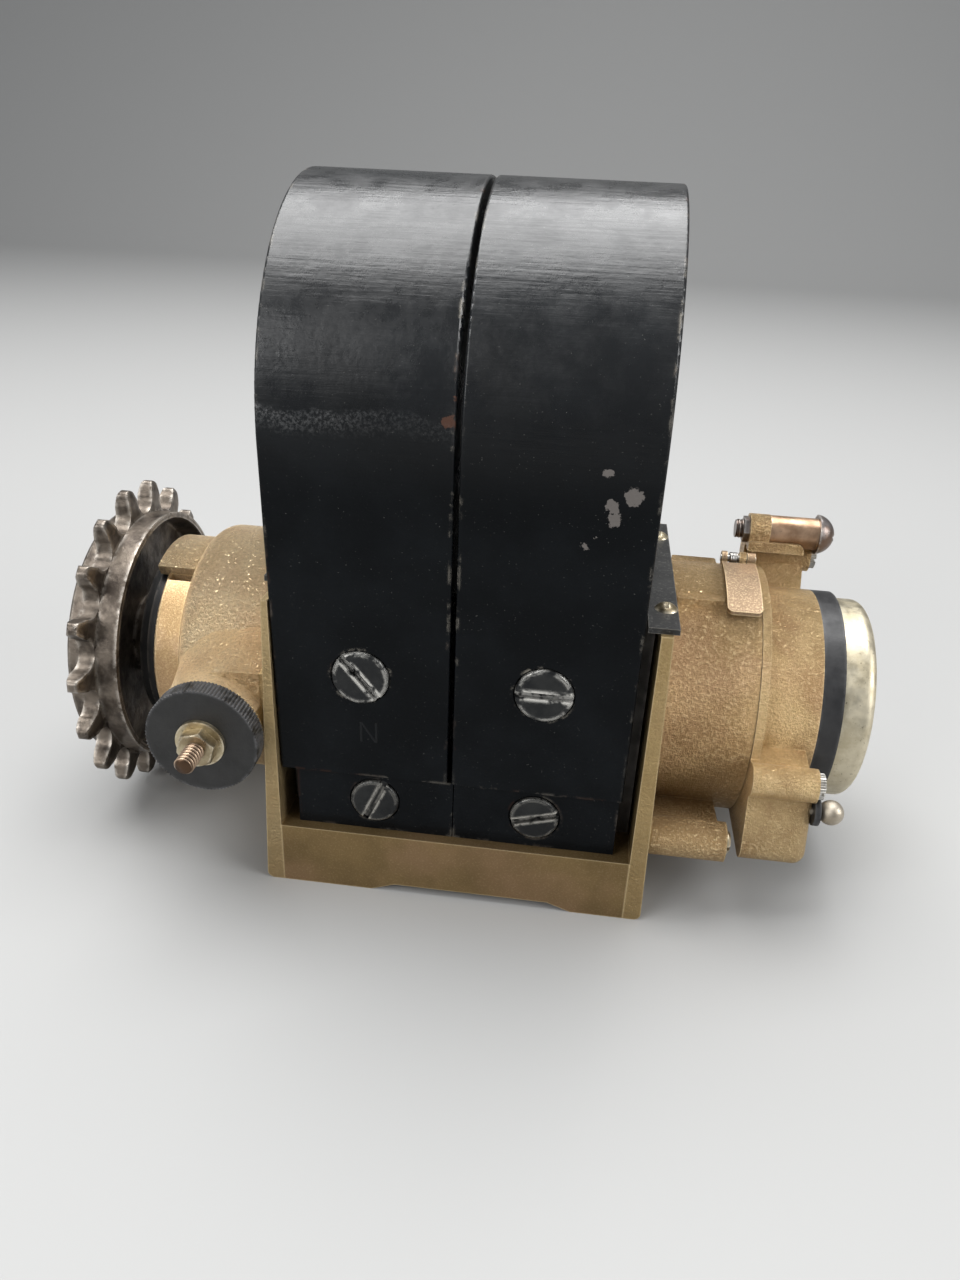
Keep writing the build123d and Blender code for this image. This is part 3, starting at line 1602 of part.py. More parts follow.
def lever_bar(start, end, width):
    """A straight flat bar between two (y, z) points."""
    length = math.dist(start, end)
    turn = math.degrees(math.atan2(end[1] - start[1], end[0] - start[0]))
    bar = block(breaker_top() + lever_lift, breaker_top() + lever_lift + contact_height,
                0, length, -width / 2, width / 2)
    return Pos(0, start[0], start[1]) * Rot(turn, 0, 0) * bar


def breaker_lever():
    """A rocker: one arm carries the moving contact, the other ends in a heel below the cam ring."""
    x0 = breaker_top() + lever_lift
    pivot = (lever_pivot_y, lever_pivot_z)
    heel_radius = spigot_radius + timing_bore_clearance - cam_ring_wall - cam_lobe_rise - lever_heel_gap
    heel = polar(heel_radius - lever_arm_width / 2, lever_heel_angle)
    low = contact_face + moving_contact_length
    elbow = (contact_place - lever_end_length / 2, low + lever_arm_width / 2)
    lever = rod_x(x0, x0 + contact_height, lever_pivot_radius + lever_hub_wall, *pivot)
    lever += lever_bar(pivot, elbow, lever_arm_width)
    lever += lever_bar(pivot, heel, lever_arm_width)
    lever += rod_x(x0, x0 + contact_height, lever_arm_width / 2, *heel)
    lever += block(x0, x0 + contact_height, elbow[0], elbow[0] + lever_end_length, low, low + lever_arm_width)
    lever += contact_rod(contact_face, low + 0.5)
    hole = lever_pivot_radius + lever_pivot_clearance
    return lifted(lever - rod_x(x0 - 1, x0 + contact_height + 1, hole, *pivot))


def lever_spring():
    """A leaf on a foot that springs over the end of the lever."""
    x0 = breaker_top() + lever_lift + (contact_height - leaf_width) / 2
    leaf = sector(x0, x0 + leaf_width, leaf_radius + leaf_thickness, leaf_radius,
                  leaf_end_angle, leaf_start_angle)
    y, z = polar(breaker_disc_radius - leaf_foot_size / 2 - 0.4, leaf_start_angle + 8)
    half = leaf_foot_size / 2
    foot = block(breaker_top(), x0 + leaf_width, y - half, y + half, z - half, z + half)
    tie_y, tie_z = polar(leaf_radius + leaf_thickness / 2, leaf_start_angle)
    tie = block(x0, x0 + leaf_width, y, tie_y + 0.2, tie_z - 1.4, tie_z)
    return lifted(leaf + foot + tie)


# Nodes

def single(shape):
    """The only solid of a shape, so that a node is one clean body."""
    solids = shape.solids()
    if len(solids) != 1:
        raise ValueError("more than one solid")
    return solids[0]


nodes = {
    "base_block": base_block,
    "drive_end_frame": drive_end_frame,
    "breaker_end_frame": breaker_end_frame,
    "front_pole_shoe": lambda: pole_shoe(-1),
    "rear_pole_shoe": lambda: pole_shoe(1),
    "left_magnet": lambda: magnet(left_magnet_start),
    "right_magnet": lambda: magnet(right_magnet_start),
    "top_cover": top_cover,
    "neck_band": neck_band,
    "brush_holder": brush_holder,
    "terminal_stud": terminal_stud,
    "terminal_washer": terminal_washer,
    "terminal_nut": terminal_nut,
    "carbon_brush": carbon_brush,
    "brush_spring": brush_spring,
    "armature_core": armature_core,
    "armature_winding": armature_winding,
    "drive_shaft": drive_shaft,
    "breaker_shaft": breaker_shaft,
    "condenser": condenser,
    "slip_ring_spool": slip_ring_spool,
    "slip_ring": slip_ring,
    "bearing_cover": bearing_cover,
    "drive_sprocket": drive_sprocket,
    "sprocket_key": sprocket_key,
    "sprocket_washer": sprocket_washer,
    "sprocket_nut": sprocket_nut,
    "oil_flap": oil_flap,
    "flap_pin": flap_pin,
    "flap_spring": flap_spring,
    "timing_housing": timing_housing,
    "control_screw": control_screw,
    "control_sleeve": control_sleeve,
    "control_nut": control_nut,
    "earth_terminal": earth_terminal,
    "earth_terminal_washer": earth_washer,
    "stop_pin": stop_pin,
    "boss_screw": boss_screw,
    "insulating_ring": insulating_ring,
    "end_cap": end_cap,
    "cam_ring": cam_ring,
    "contact_breaker_disc": contact_breaker_disc,
    "breaker_screw": breaker_screw,
    "fixed_contact": fixed_contact,
    "lever_pivot": lever_pivot,
    "breaker_lever": breaker_lever,
    "lever_spring": lever_spring,
}
groups = {
    "left_foot_blocks": lambda: foot_block_pair(left_block_start, left_block_width),
    "right_foot_blocks": lambda: foot_block_pair(right_block_start, right_block_width),
    "bearing_outer_rings": lambda: at_both_ends(bearing_outer),
    "bearing_inner_rings": lambda: at_both_ends(bearing_inner),
    "bearing_balls": lambda: at_both_ends(bearing_balls),
    "magnet_screws": magnet_screws,
    "foot_block_screws": foot_block_screws,
    "end_frame_screws": frame_screws,
    "pole_shoe_screws": pole_shoe_screws,
    "cover_screws": cover_screws,
    "lug_screws": lug_screws,
}


for name, make in nodes.items():
    export_step(single(make()), "parts/" + name + ".step")
for name, make in groups.items():
    export_step(make(), "parts/" + name + ".step")
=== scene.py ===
import math

import bmesh
import bpy
import numpy as np
from mathutils import Matrix, Vector


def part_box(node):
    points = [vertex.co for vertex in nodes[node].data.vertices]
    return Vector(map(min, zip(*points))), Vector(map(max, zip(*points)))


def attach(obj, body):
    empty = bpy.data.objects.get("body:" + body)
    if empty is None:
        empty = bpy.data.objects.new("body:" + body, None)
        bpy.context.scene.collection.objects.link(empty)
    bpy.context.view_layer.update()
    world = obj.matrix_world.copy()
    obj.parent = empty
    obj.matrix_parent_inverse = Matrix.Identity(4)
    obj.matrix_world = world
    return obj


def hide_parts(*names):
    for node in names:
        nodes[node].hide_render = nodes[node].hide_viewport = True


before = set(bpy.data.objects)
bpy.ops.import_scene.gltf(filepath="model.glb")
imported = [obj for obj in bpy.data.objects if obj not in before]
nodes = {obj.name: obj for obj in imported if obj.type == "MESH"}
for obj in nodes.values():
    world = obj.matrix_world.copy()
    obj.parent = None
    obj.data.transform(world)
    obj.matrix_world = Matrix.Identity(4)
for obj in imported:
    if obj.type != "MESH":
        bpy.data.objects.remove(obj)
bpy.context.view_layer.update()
print("frame loaded, nodes:", len(nodes))

mm = 0.001
shaftHeight = 35.5 * mm


def newFinish(name, colour, metallic, roughness):
    # a material with its shader, and the object coordinates everything is drawn from
    material = bpy.data.materials.new(name)
    material.use_nodes = True
    tree = material.node_tree
    shader = tree.nodes["Principled BSDF"]
    shader.inputs["Base Color"].default_value = (*colour, 1)
    shader.inputs["Metallic"].default_value = metallic
    shader.inputs["Roughness"].default_value = roughness
    where = tree.nodes.new("ShaderNodeTexCoord").outputs["Object"]
    return material, tree, shader, where


def stretched(tree, where, scale, shift=(0, 0, 0)):
    mapping = tree.nodes.new("ShaderNodeMapping")
    mapping.inputs["Scale"].default_value = scale
    mapping.inputs["Location"].default_value = shift
    tree.links.new(where, mapping.inputs["Vector"])
    return mapping.outputs["Vector"]


def noise(tree, where, scale, detail, roughness):
    node = tree.nodes.new("ShaderNodeTexNoise")
    node.inputs["Scale"].default_value = scale
    node.inputs["Detail"].default_value = detail
    node.inputs["Roughness"].default_value = roughness
    tree.links.new(where, node.inputs["Vector"])
    return node.outputs["Fac"]


def ramp(tree, value, low, high, toLow=0.0, toHigh=1.0):
    node = tree.nodes.new("ShaderNodeMapRange")
    node.interpolation_type = "SMOOTHSTEP"
    node.inputs["From Min"].default_value = low
    node.inputs["From Max"].default_value = high
    node.inputs["To Min"].default_value = toLow
    node.inputs["To Max"].default_value = toHigh
    tree.links.new(value, node.inputs["Value"])
    return node.outputs["Result"]


def patches(tree, where, pattern, toLow=0.0, toHigh=1.0):
    # noise cut between two levels: the pattern holds its scale, detail, roughness, low and high level
    scale, detail, roughness, low, high = pattern
    return ramp(tree, noise(tree, where, scale, detail, roughness), low, high, toLow, toHigh)


def calc(tree, operation, first, second=None):
    node = tree.nodes.new("ShaderNodeMath")
    node.operation = operation
    for place, value in enumerate((first, second)):
        if value is None:
            continue
        if isinstance(value, (int, float)):
            node.inputs[place].default_value = value
        else:
            tree.links.new(value, node.inputs[place])
    return node.outputs["Value"]


def blend(tree, factor, first, second):
    # mixes two colours, each given as numbers or as a socket
    node = tree.nodes.new("ShaderNodeMix")
    node.data_type = "RGBA"
    tree.links.new(factor, node.inputs["Factor"])
    for key, value in (("A", first), ("B", second)):
        socket = [s for s in node.inputs if s.name == key and s.type == "RGBA"][0]
        if isinstance(value, tuple):
            socket.default_value = (*value, 1)
        else:
            tree.links.new(value, socket)
    return [s for s in node.outputs if s.type == "RGBA"][0]


def relief(tree, shader, height, distance, strength=1.0):
    node = tree.nodes.new("ShaderNodeBump")
    node.inputs["Strength"].default_value = strength
    node.inputs["Distance"].default_value = distance
    tree.links.new(height, node.inputs["Height"])
    tree.links.new(node.outputs["Normal"], shader.inputs["Normal"])


wearSamples = 6


def edgeWear(tree, radius, low, high):
    # bright where the softened normal leaves the true one, which is along the edges
    soft = tree.nodes.new("ShaderNodeBevel")
    soft.samples = wearSamples
    soft.inputs["Radius"].default_value = radius
    geometry = tree.nodes.new("ShaderNodeNewGeometry")
    dot = tree.nodes.new("ShaderNodeVectorMath")
    dot.operation = "DOT_PRODUCT"
    tree.links.new(soft.outputs["Normal"], dot.inputs[0])
    tree.links.new(geometry.outputs["Normal"], dot.inputs[1])
    away = calc(tree, "SUBTRACT", 1.0, dot.outputs["Value"])
    return ramp(tree, away, low, high)


def setFinish(material, *names):
    for name in names:
        nodes[name].data.materials.clear()
        nodes[name].data.materials.append(material)


def axisOf(tree, where, axis):
    node = tree.nodes.new("ShaderNodeSeparateXYZ")
    tree.links.new(where, node.inputs["Vector"])
    return node.outputs[axis]


def scaled(tree, value, factor):
    return calc(tree, "MULTIPLY", value, factor)


def wobble(tree, where, scale, detail, roughness, reach):
    # noise about zero that swings by half the reach each way
    return scaled(tree, calc(tree, "SUBTRACT", noise(tree, where, scale, detail, roughness), 0.5), reach)


raggedEdge = {"noise": (430, 6, 0.75), "reach": 4.2 * mm, "inner": 0.94}


def spot(tree, where, centre, radius):
    # a ragged round patch: the distance from its centre plus noise, cut at the radius
    node = tree.nodes.new("ShaderNodeVectorMath")
    node.operation = "DISTANCE"
    node.inputs[1].default_value = centre
    tree.links.new(where, node.inputs[0])
    edge = wobble(tree, where, *raggedEdge["noise"], raggedEdge["reach"])
    distance = calc(tree, "ADD", node.outputs["Value"], edge)
    return ramp(tree, distance, radius * raggedEdge["inner"], radius, 1.0, 0.0)


solidShare = {"across": 0.6, "along": 0.95}


def stroke(tree, across, along, halfWidth, halfLength):
    # inside a straight stroke, given the distances across it and along it
    across, along = calc(tree, "ABSOLUTE", across), calc(tree, "ABSOLUTE", along)
    beside = ramp(tree, across, halfWidth * solidShare["across"], halfWidth, 1.0, 0.0)
    within = ramp(tree, along, halfLength * solidShare["along"], halfLength, 1.0, 0.0)
    return calc(tree, "MULTIPLY", beside, within)


# black enamel of the magnets and the foot blocks: its colours, its noise patterns, and the heights
# between which the gloss rises and the bare edges turn from darker below to lighter above
enamel = {
    "paint": (0.0035, 0.0042, 0.0050), "film": (0.0065, 0.0078, 0.0092), "bare": (0.36, 0.33, 0.28),
    "rust": (0.115, 0.050, 0.030), "dust": (0.13, 0.13, 0.12), "edgeRadius": 1.1 * mm,
    "edgeWear": (0.012, 0.09), "lowDarkening": 0.75, "dustShare": 0.5, "sunk": 0.6, "bareMetal": 0.5,
    "bareRoughness": 0.2, "sheenRange": (0.20, 0.40), "strength": 0.6,
    "scuffs": (210, 7, 0.7, 0.50, 0.60), "flakes": (95, 7, 0.6, 0.735, 0.745),
    "rusty": (40, 3, 0.55, 0.50, 0.62), "dusty": (2600, 2, 0.55, 0.71, 0.76),
    "filmy": (55, 5, 0.6, 0.35, 0.75), "sheen": (120, 6, 0.7, 0.30, 0.70),
    "darkeningHeights": (26 * mm, 70 * mm), "glossHeights": (84 * mm, 122 * mm), "gloss": (0.07, 0.60),
    "brushScale": (60, 900, 900), "brushNoise": (1.0, 5, 0.6), "peel": (900, 3, 0.5),
    "swell": (130, 3, 0.5), "depth": 0.12 * mm,
    "shares": {"strokes": 1.1, "peel": 0.5, "swell": 1.6},
}

# chips in the paint, each with its place on the front in mm and its radius
frontOfMagnets = -40.2
chips = {
    "left": {"tint": enamel["rust"], "strength": 0.6,
             "spots": [(-2.2, 112.8, 1.3), (-2.9, 100.6, 1.1), (-1.9, 104.5, 0.8)]},
    "right": {"tint": (0.16, 0.145, 0.135), "strength": 0.9,
              "spots": [(28.0, 90.5, 1.5), (24.9, 88.4, 1.1), (25.4, 86.0, 1.2), (21.1, 80.9, 0.8),
                        (23.8, 94.4, 0.7), (22.4, 82.4, 0.5)]},
}

# a ridge of rough thick paint that glitters where the left magnet starts to bend: the heights between
# which it rises and falls, how far noise bends it, and how it fades along X
ridge = {"rise": (96.5 * mm, 100.6 * mm), "fall": (100.3 * mm, 101.3 * mm),
         "bend": (90, 4, 0.6, 6.0 * mm), "across": (-34 * mm, -2 * mm), "farEnd": 0.25,
         "glitter": (1500, 5, 0.8, 0.44, 0.64), "shine": 1.7}

# the single pole letter on the left magnet
poleMark = {"place": (-17.4 * mm, 38.2 * mm), "halfWidth": 1.5 * mm, "halfHeight": 2.4 * mm,
            "line": 0.32 * mm, "front": (-36 * mm, -35 * mm), "colour": (0.017, 0.018, 0.019),
            "strength": 0.7, "depth": 7.0}


def enamelWear(tree, where):
    # where the paint is gone: along the edges in patches, and in small flakes
    edges = edgeWear(tree, enamel["edgeRadius"], *enamel["edgeWear"])
    scuffed = calc(tree, "MULTIPLY", edges, patches(tree, where, enamel["scuffs"]))
    return calc(tree, "MAXIMUM", scuffed, patches(tree, where, enamel["flakes"]))


def enamelColour(tree, where, height, worn):
    bare = blend(tree, patches(tree, where, enamel["rusty"]), enamel["bare"], enamel["rust"])
    # the bare edges turn darker towards the bottom
    darkening = ramp(tree, height, *enamel["darkeningHeights"], enamel["lowDarkening"], 0.0)
    bare = blend(tree, darkening, bare, enamel["film"])
    paint = blend(tree, patches(tree, where, enamel["filmy"]), enamel["paint"], enamel["film"])
    dust = scaled(tree, patches(tree, where, enamel["dusty"]), enamel["dustShare"])
    paint = blend(tree, dust, paint, enamel["dust"])
    return blend(tree, worn, paint, bare)


def enamelRelief(tree, where, worn):
    # brush strokes round the magnet, orange peel and a slow swell, sunk where the paint is gone
    shares = enamel["shares"]
    brushed = noise(tree, stretched(tree, where, enamel["brushScale"]), *enamel["brushNoise"])
    strokes = scaled(tree, brushed, shares["strokes"])
    peel = scaled(tree, noise(tree, where, *enamel["peel"]), shares["peel"])
    swell = scaled(tree, noise(tree, where, *enamel["swell"]), shares["swell"])
    level = calc(tree, "ADD", calc(tree, "ADD", strokes, peel), swell)
    return calc(tree, "SUBTRACT", level, scaled(tree, worn, enamel["sunk"]))


def ridgeShine(tree, where, height):
    level = calc(tree, "ADD", height, wobble(tree, where, *ridge["bend"]))
    rise = ramp(tree, level, *ridge["rise"])
    fall = ramp(tree, level, *ridge["fall"], 1.0, 0.0)
    fading = ramp(tree, axisOf(tree, where, "X"), *ridge["across"], 1.0, ridge["farEnd"])
    band = calc(tree, "MULTIPLY", calc(tree, "MULTIPLY", rise, fall), fading)
    return calc(tree, "MULTIPLY", band, patches(tree, where, ridge["glitter"], 0.0, ridge["shine"]))


def poleMarkMask(tree, where, height):
    # two uprights and the slanting stroke between them, on the front only
    across = calc(tree, "SUBTRACT", axisOf(tree, where, "X"), poleMark["place"][0])
    upward = calc(tree, "SUBTRACT", height, poleMark["place"][1])
    reach, rise, line = poleMark["halfWidth"], poleMark["halfHeight"], poleMark["line"]
    right = stroke(tree, calc(tree, "SUBTRACT", across, reach), upward, line, rise)
    left = stroke(tree, calc(tree, "ADD", across, reach), upward, line, rise)
    slant = calc(tree, "ADD", across, scaled(tree, upward, reach / rise))
    crossing = stroke(tree, slant, upward, line, rise)
    mark = calc(tree, "MAXIMUM", calc(tree, "MAXIMUM", right, left), crossing)
    front = ramp(tree, axisOf(tree, where, "Y"), *poleMark["front"], 1.0, 0.0)
    return calc(tree, "MULTIPLY", mark, front)


def makeEnamel(name, side=None):
    material, tree, shader, where = newFinish(name, enamel["paint"], 0.0, 0.35)
    height = axisOf(tree, where, "Z")
    worn = enamelWear(tree, where)
    colour = enamelColour(tree, where, height, worn)
    level = enamelRelief(tree, where, worn)
    gloss = ramp(tree, height, *enamel["glossHeights"], *enamel["gloss"])
    if side in chips:
        for x, z, radius in chips[side]["spots"]:
            place = (x * mm, frontOfMagnets * mm, z * mm)
            patch = scaled(tree, spot(tree, where, place, radius * mm), chips[side]["strength"])
            colour = blend(tree, patch, colour, chips[side]["tint"])
    if side == "left":
        gloss = calc(tree, "ADD", gloss, ridgeShine(tree, where, height))
        mark = poleMarkMask(tree, where, height)
        level = calc(tree, "SUBTRACT", level, scaled(tree, mark, poleMark["depth"]))
        colour = blend(tree, scaled(tree, mark, poleMark["strength"]), colour, poleMark["colour"])
    sheen = patches(tree, where, enamel["sheen"], *enamel["sheenRange"])
    tree.links.new(colour, shader.inputs["Base Color"])
    tree.links.new(gloss, shader.inputs["Specular IOR Level"])
    tree.links.new(scaled(tree, worn, enamel["bareMetal"]), shader.inputs["Metallic"])
    roughness = calc(tree, "ADD", sheen, scaled(tree, worn, enamel["bareRoughness"]))
    tree.links.new(roughness, shader.inputs["Roughness"])
    relief(tree, shader, level, enamel["depth"], enamel["strength"])
    return material


setFinish(makeEnamel("leftEnamel", "left"), "left_magnet")
setFinish(makeEnamel("rightEnamel", "right"), "right_magnet")
setFinish(makeEnamel("blockEnamel"), "left_foot_blocks", "right_foot_blocks")

# the top cover's dull black paint, rubbed bright at the edges and speckled
coverPaint = {"colour": (0.012, 0.012, 0.012), "dark": (0.008, 0.008, 0.008),
              "light": (0.022, 0.022, 0.021), "speck": (0.16, 0.155, 0.14), "bare": (0.30, 0.28, 0.24),
              "clouds": (200, 5, 0.6, 0.40, 0.65), "specks": (1700, 4, 0.7, 0.56, 0.64),
              "grain": (1500, 4, 0.6), "depth": 0.08 * mm, "edgeRadius": 0.4 * mm,
              "edgeWear": (0.05, 0.30), "bareShare": 0.6, "speckShare": 0.5, "roughness": 0.5,
              "strength": 0.8}


def makeCoverPaint():
    look = coverPaint
    material, tree, shader, where = newFinish("coverPaint", look["colour"], 0.0, look["roughness"])
    rubbed = edgeWear(tree, look["edgeRadius"], *look["edgeWear"])
    edges = scaled(tree, rubbed, look["bareShare"])
    colour = blend(tree, patches(tree, where, look["clouds"]), look["dark"], look["light"])
    specks = scaled(tree, patches(tree, where, look["specks"]), look["speckShare"])
    colour = blend(tree, specks, colour, look["speck"])
    colour = blend(tree, edges, colour, look["bare"])
    tree.links.new(colour, shader.inputs["Base Color"])
    relief(tree, shader, noise(tree, where, *look["grain"]), look["depth"], look["strength"])
    return material


setFinish(makeCoverPaint(), "top_cover")

# bronzes: what all of them share, and then each with its two colours, the scale and depth of its grain,
# its roughness, how stained it is, how strongly its grain is painted with highlights on the peaks and
# shade in the pits, and whether it has a machined plate
bronze = {"dull": (0.47, 0.31, 0.150), "dark": (0.10, 0.062, 0.030), "pink": (0.58, 0.365, 0.215),
          "olive": (0.34, 0.245, 0.105), "rubbed": (0.86, 0.69, 0.42),
          "clouds": (70, 5, 0.6, 0.36, 0.64), "warmth": (45, 3, 0.55, 0.50, 0.72),
          "warmthShift": (0.3, 0.1, 0.7), "stains": (150, 6, 0.7, 0.60, 0.74),
          "lowHeights": (14 * mm, 34 * mm), "plateFace": (39.45 * mm, 39.7 * mm),
          "edgeRadius": 0.6 * mm, "sand": (6, 0.72, 0.34, 0.66), "pits": (0.10, 0.42),
          "glints": (0.62, 0.95), "edgeWear": (0.03, 0.25), "metallic": 0.85, "pinkShare": 0.5,
          "pitShare": 0.42, "lowDarkening": 0.45, "oliveShare": 0.75,
          "onPlate": {"grain": 0.25, "darkening": 0.45, "glints": 0.2}, "rubbedShare": 0.6,
          "darkeningRoughness": 0.22, "lumpScale": 0.3, "lumpNoise": (3, 0.5), "lumpShare": 0.8}
bronzes = {
    "roughBronze": {"nodes": ["drive_end_frame"], "light": (0.80, 0.63, 0.40), "dull": (0.72, 0.53, 0.31),
                    "grain": 1350, "depth": 0.40 * mm, "roughness": 0.34, "patina": 0.14, "sparkle": 0.50,
                    "plate": True},
    "drumBronze": {"nodes": ["breaker_end_frame"], "light": (0.66, 0.46, 0.235), "dull": bronze["dull"],
                   "grain": 1500, "depth": 0.32 * mm, "roughness": 0.34, "patina": 0.18, "sparkle": 0.42,
                   "plate": True},
    "timingBronze": {"nodes": ["timing_housing"], "light": (0.70, 0.51, 0.265), "dull": bronze["dull"],
                     "grain": 1600, "depth": 0.24 * mm, "roughness": 0.33, "patina": 0.16, "sparkle": 0.30,
                     "plate": False},
    "baseBronze": {"nodes": ["base_block"], "light": (0.37, 0.255, 0.110), "dull": (0.27, 0.185, 0.077),
                   "grain": 2400, "depth": 0.02 * mm, "roughness": 0.38, "patina": 0.30, "sparkle": 0.10,
                   "plate": False},
    "flapBronze": {"nodes": ["oil_flap"], "light": (0.30, 0.21, 0.135), "dull": (0.20, 0.14, 0.09),
                   "grain": 2600, "depth": 0.03 * mm, "roughness": 0.45, "patina": 0.20, "sparkle": 0.35,
                   "plate": False},
    "bandBronze": {"nodes": ["neck_band"], "light": (0.60, 0.41, 0.26), "dull": bronze["dull"],
                   "grain": 2600, "depth": 0.03 * mm, "roughness": 0.36, "patina": 0.35, "sparkle": 0.35,
                   "plate": False},
    "innerBrass": {"nodes": ["slip_ring", "contact_breaker_disc", "fixed_contact", "breaker_lever"],
                   "light": (0.50, 0.36, 0.16), "dull": bronze["dull"], "grain": 3000, "depth": 0.02 * mm,
                   "roughness": 0.35, "patina": 0.1, "sparkle": 0.35, "plate": False},
}


def bronzeColour(tree, where, look):
    colour = blend(tree, patches(tree, where, bronze["clouds"]), look["light"], look["dull"])
    warm = patches(tree, stretched(tree, where, (1, 1, 1), bronze["warmthShift"]), bronze["warmth"])
    return blend(tree, scaled(tree, warm, bronze["pinkShare"]), colour, bronze["pink"])


def bronzeShadeAndStains(tree, where, look, sand):
    # painted shade in the pits of the grain, real stains, and darker towards the floor
    # painted shade: the low points of the grain are painted dark, scaled with the grain's painted
    # highlights
    pits = ramp(tree, sand, *bronze["pits"], 1.0, 0.0)
    pits = scaled(tree, pits, bronze["pitShare"] * look["sparkle"])
    stains = scaled(tree, patches(tree, where, bronze["stains"]), look["patina"])
    low = ramp(tree, axisOf(tree, where, "Z"), *bronze["lowHeights"], bronze["lowDarkening"], 0.0)
    return calc(tree, "MAXIMUM", calc(tree, "MAXIMUM", pits, stains), low)


def fadedBy(tree, value, mask, rest):
    # the value as it is where the mask is 0, and times rest where the mask is 1
    return calc(tree, "MULTIPLY", value, ramp(tree, mask, 0.0, 1.0, 1.0, rest))


def makeBronze(name, look):
    roughness = look["roughness"]
    material, tree, shader, where = newFinish(name, look["light"], bronze["metallic"], roughness)
    colour = bronzeColour(tree, where, look)
    sand = patches(tree, where, (look["grain"], *bronze["sand"]))
    darkening = bronzeShadeAndStains(tree, where, look, sand)
    # painted highlights: the peaks of the grain are painted in the rubbed colour
    glints = scaled(tree, ramp(tree, sand, *bronze["glints"]), look["sparkle"])
    grain = sand
    if look["plate"]:
        # the machined plate is smoother and yellower than the casting beside it
        beside = calc(tree, "ABSOLUTE", axisOf(tree, where, "X"))
        flat = ramp(tree, beside, *bronze["plateFace"], 1.0, 0.0)
        colour = blend(tree, scaled(tree, flat, bronze["oliveShare"]), colour, bronze["olive"])
        grain = fadedBy(tree, sand, flat, bronze["onPlate"]["grain"])
        darkening = fadedBy(tree, darkening, flat, bronze["onPlate"]["darkening"])
        glints = fadedBy(tree, glints, flat, bronze["onPlate"]["glints"])
    rubbed = edgeWear(tree, bronze["edgeRadius"], *bronze["edgeWear"])
    edges = scaled(tree, rubbed, bronze["rubbedShare"])
    # the painted shade and the stains darken; the painted highlights and the rubbed edges lighten
    colour = blend(tree, darkening, colour, bronze["dark"])
    colour = blend(tree, glints, colour, bronze["rubbed"])
    colour = blend(tree, edges, colour, bronze["rubbed"])
    tree.links.new(colour, shader.inputs["Base Color"])
    duller = ramp(tree, darkening, 0.0, 1.0, roughness, roughness + bronze["darkeningRoughness"])
    tree.links.new(duller, shader.inputs["Roughness"])
    lumps = noise(tree, where, look["grain"] * bronze["lumpScale"], *bronze["lumpNoise"])
    lumps = scaled(tree, lumps, bronze["lumpShare"])
    relief(tree, shader, calc(tree, "ADD", grain, lumps), look["depth"])
    return material


for name, look in bronzes.items():
    setFinish(makeBronze(name, look), *look["nodes"])

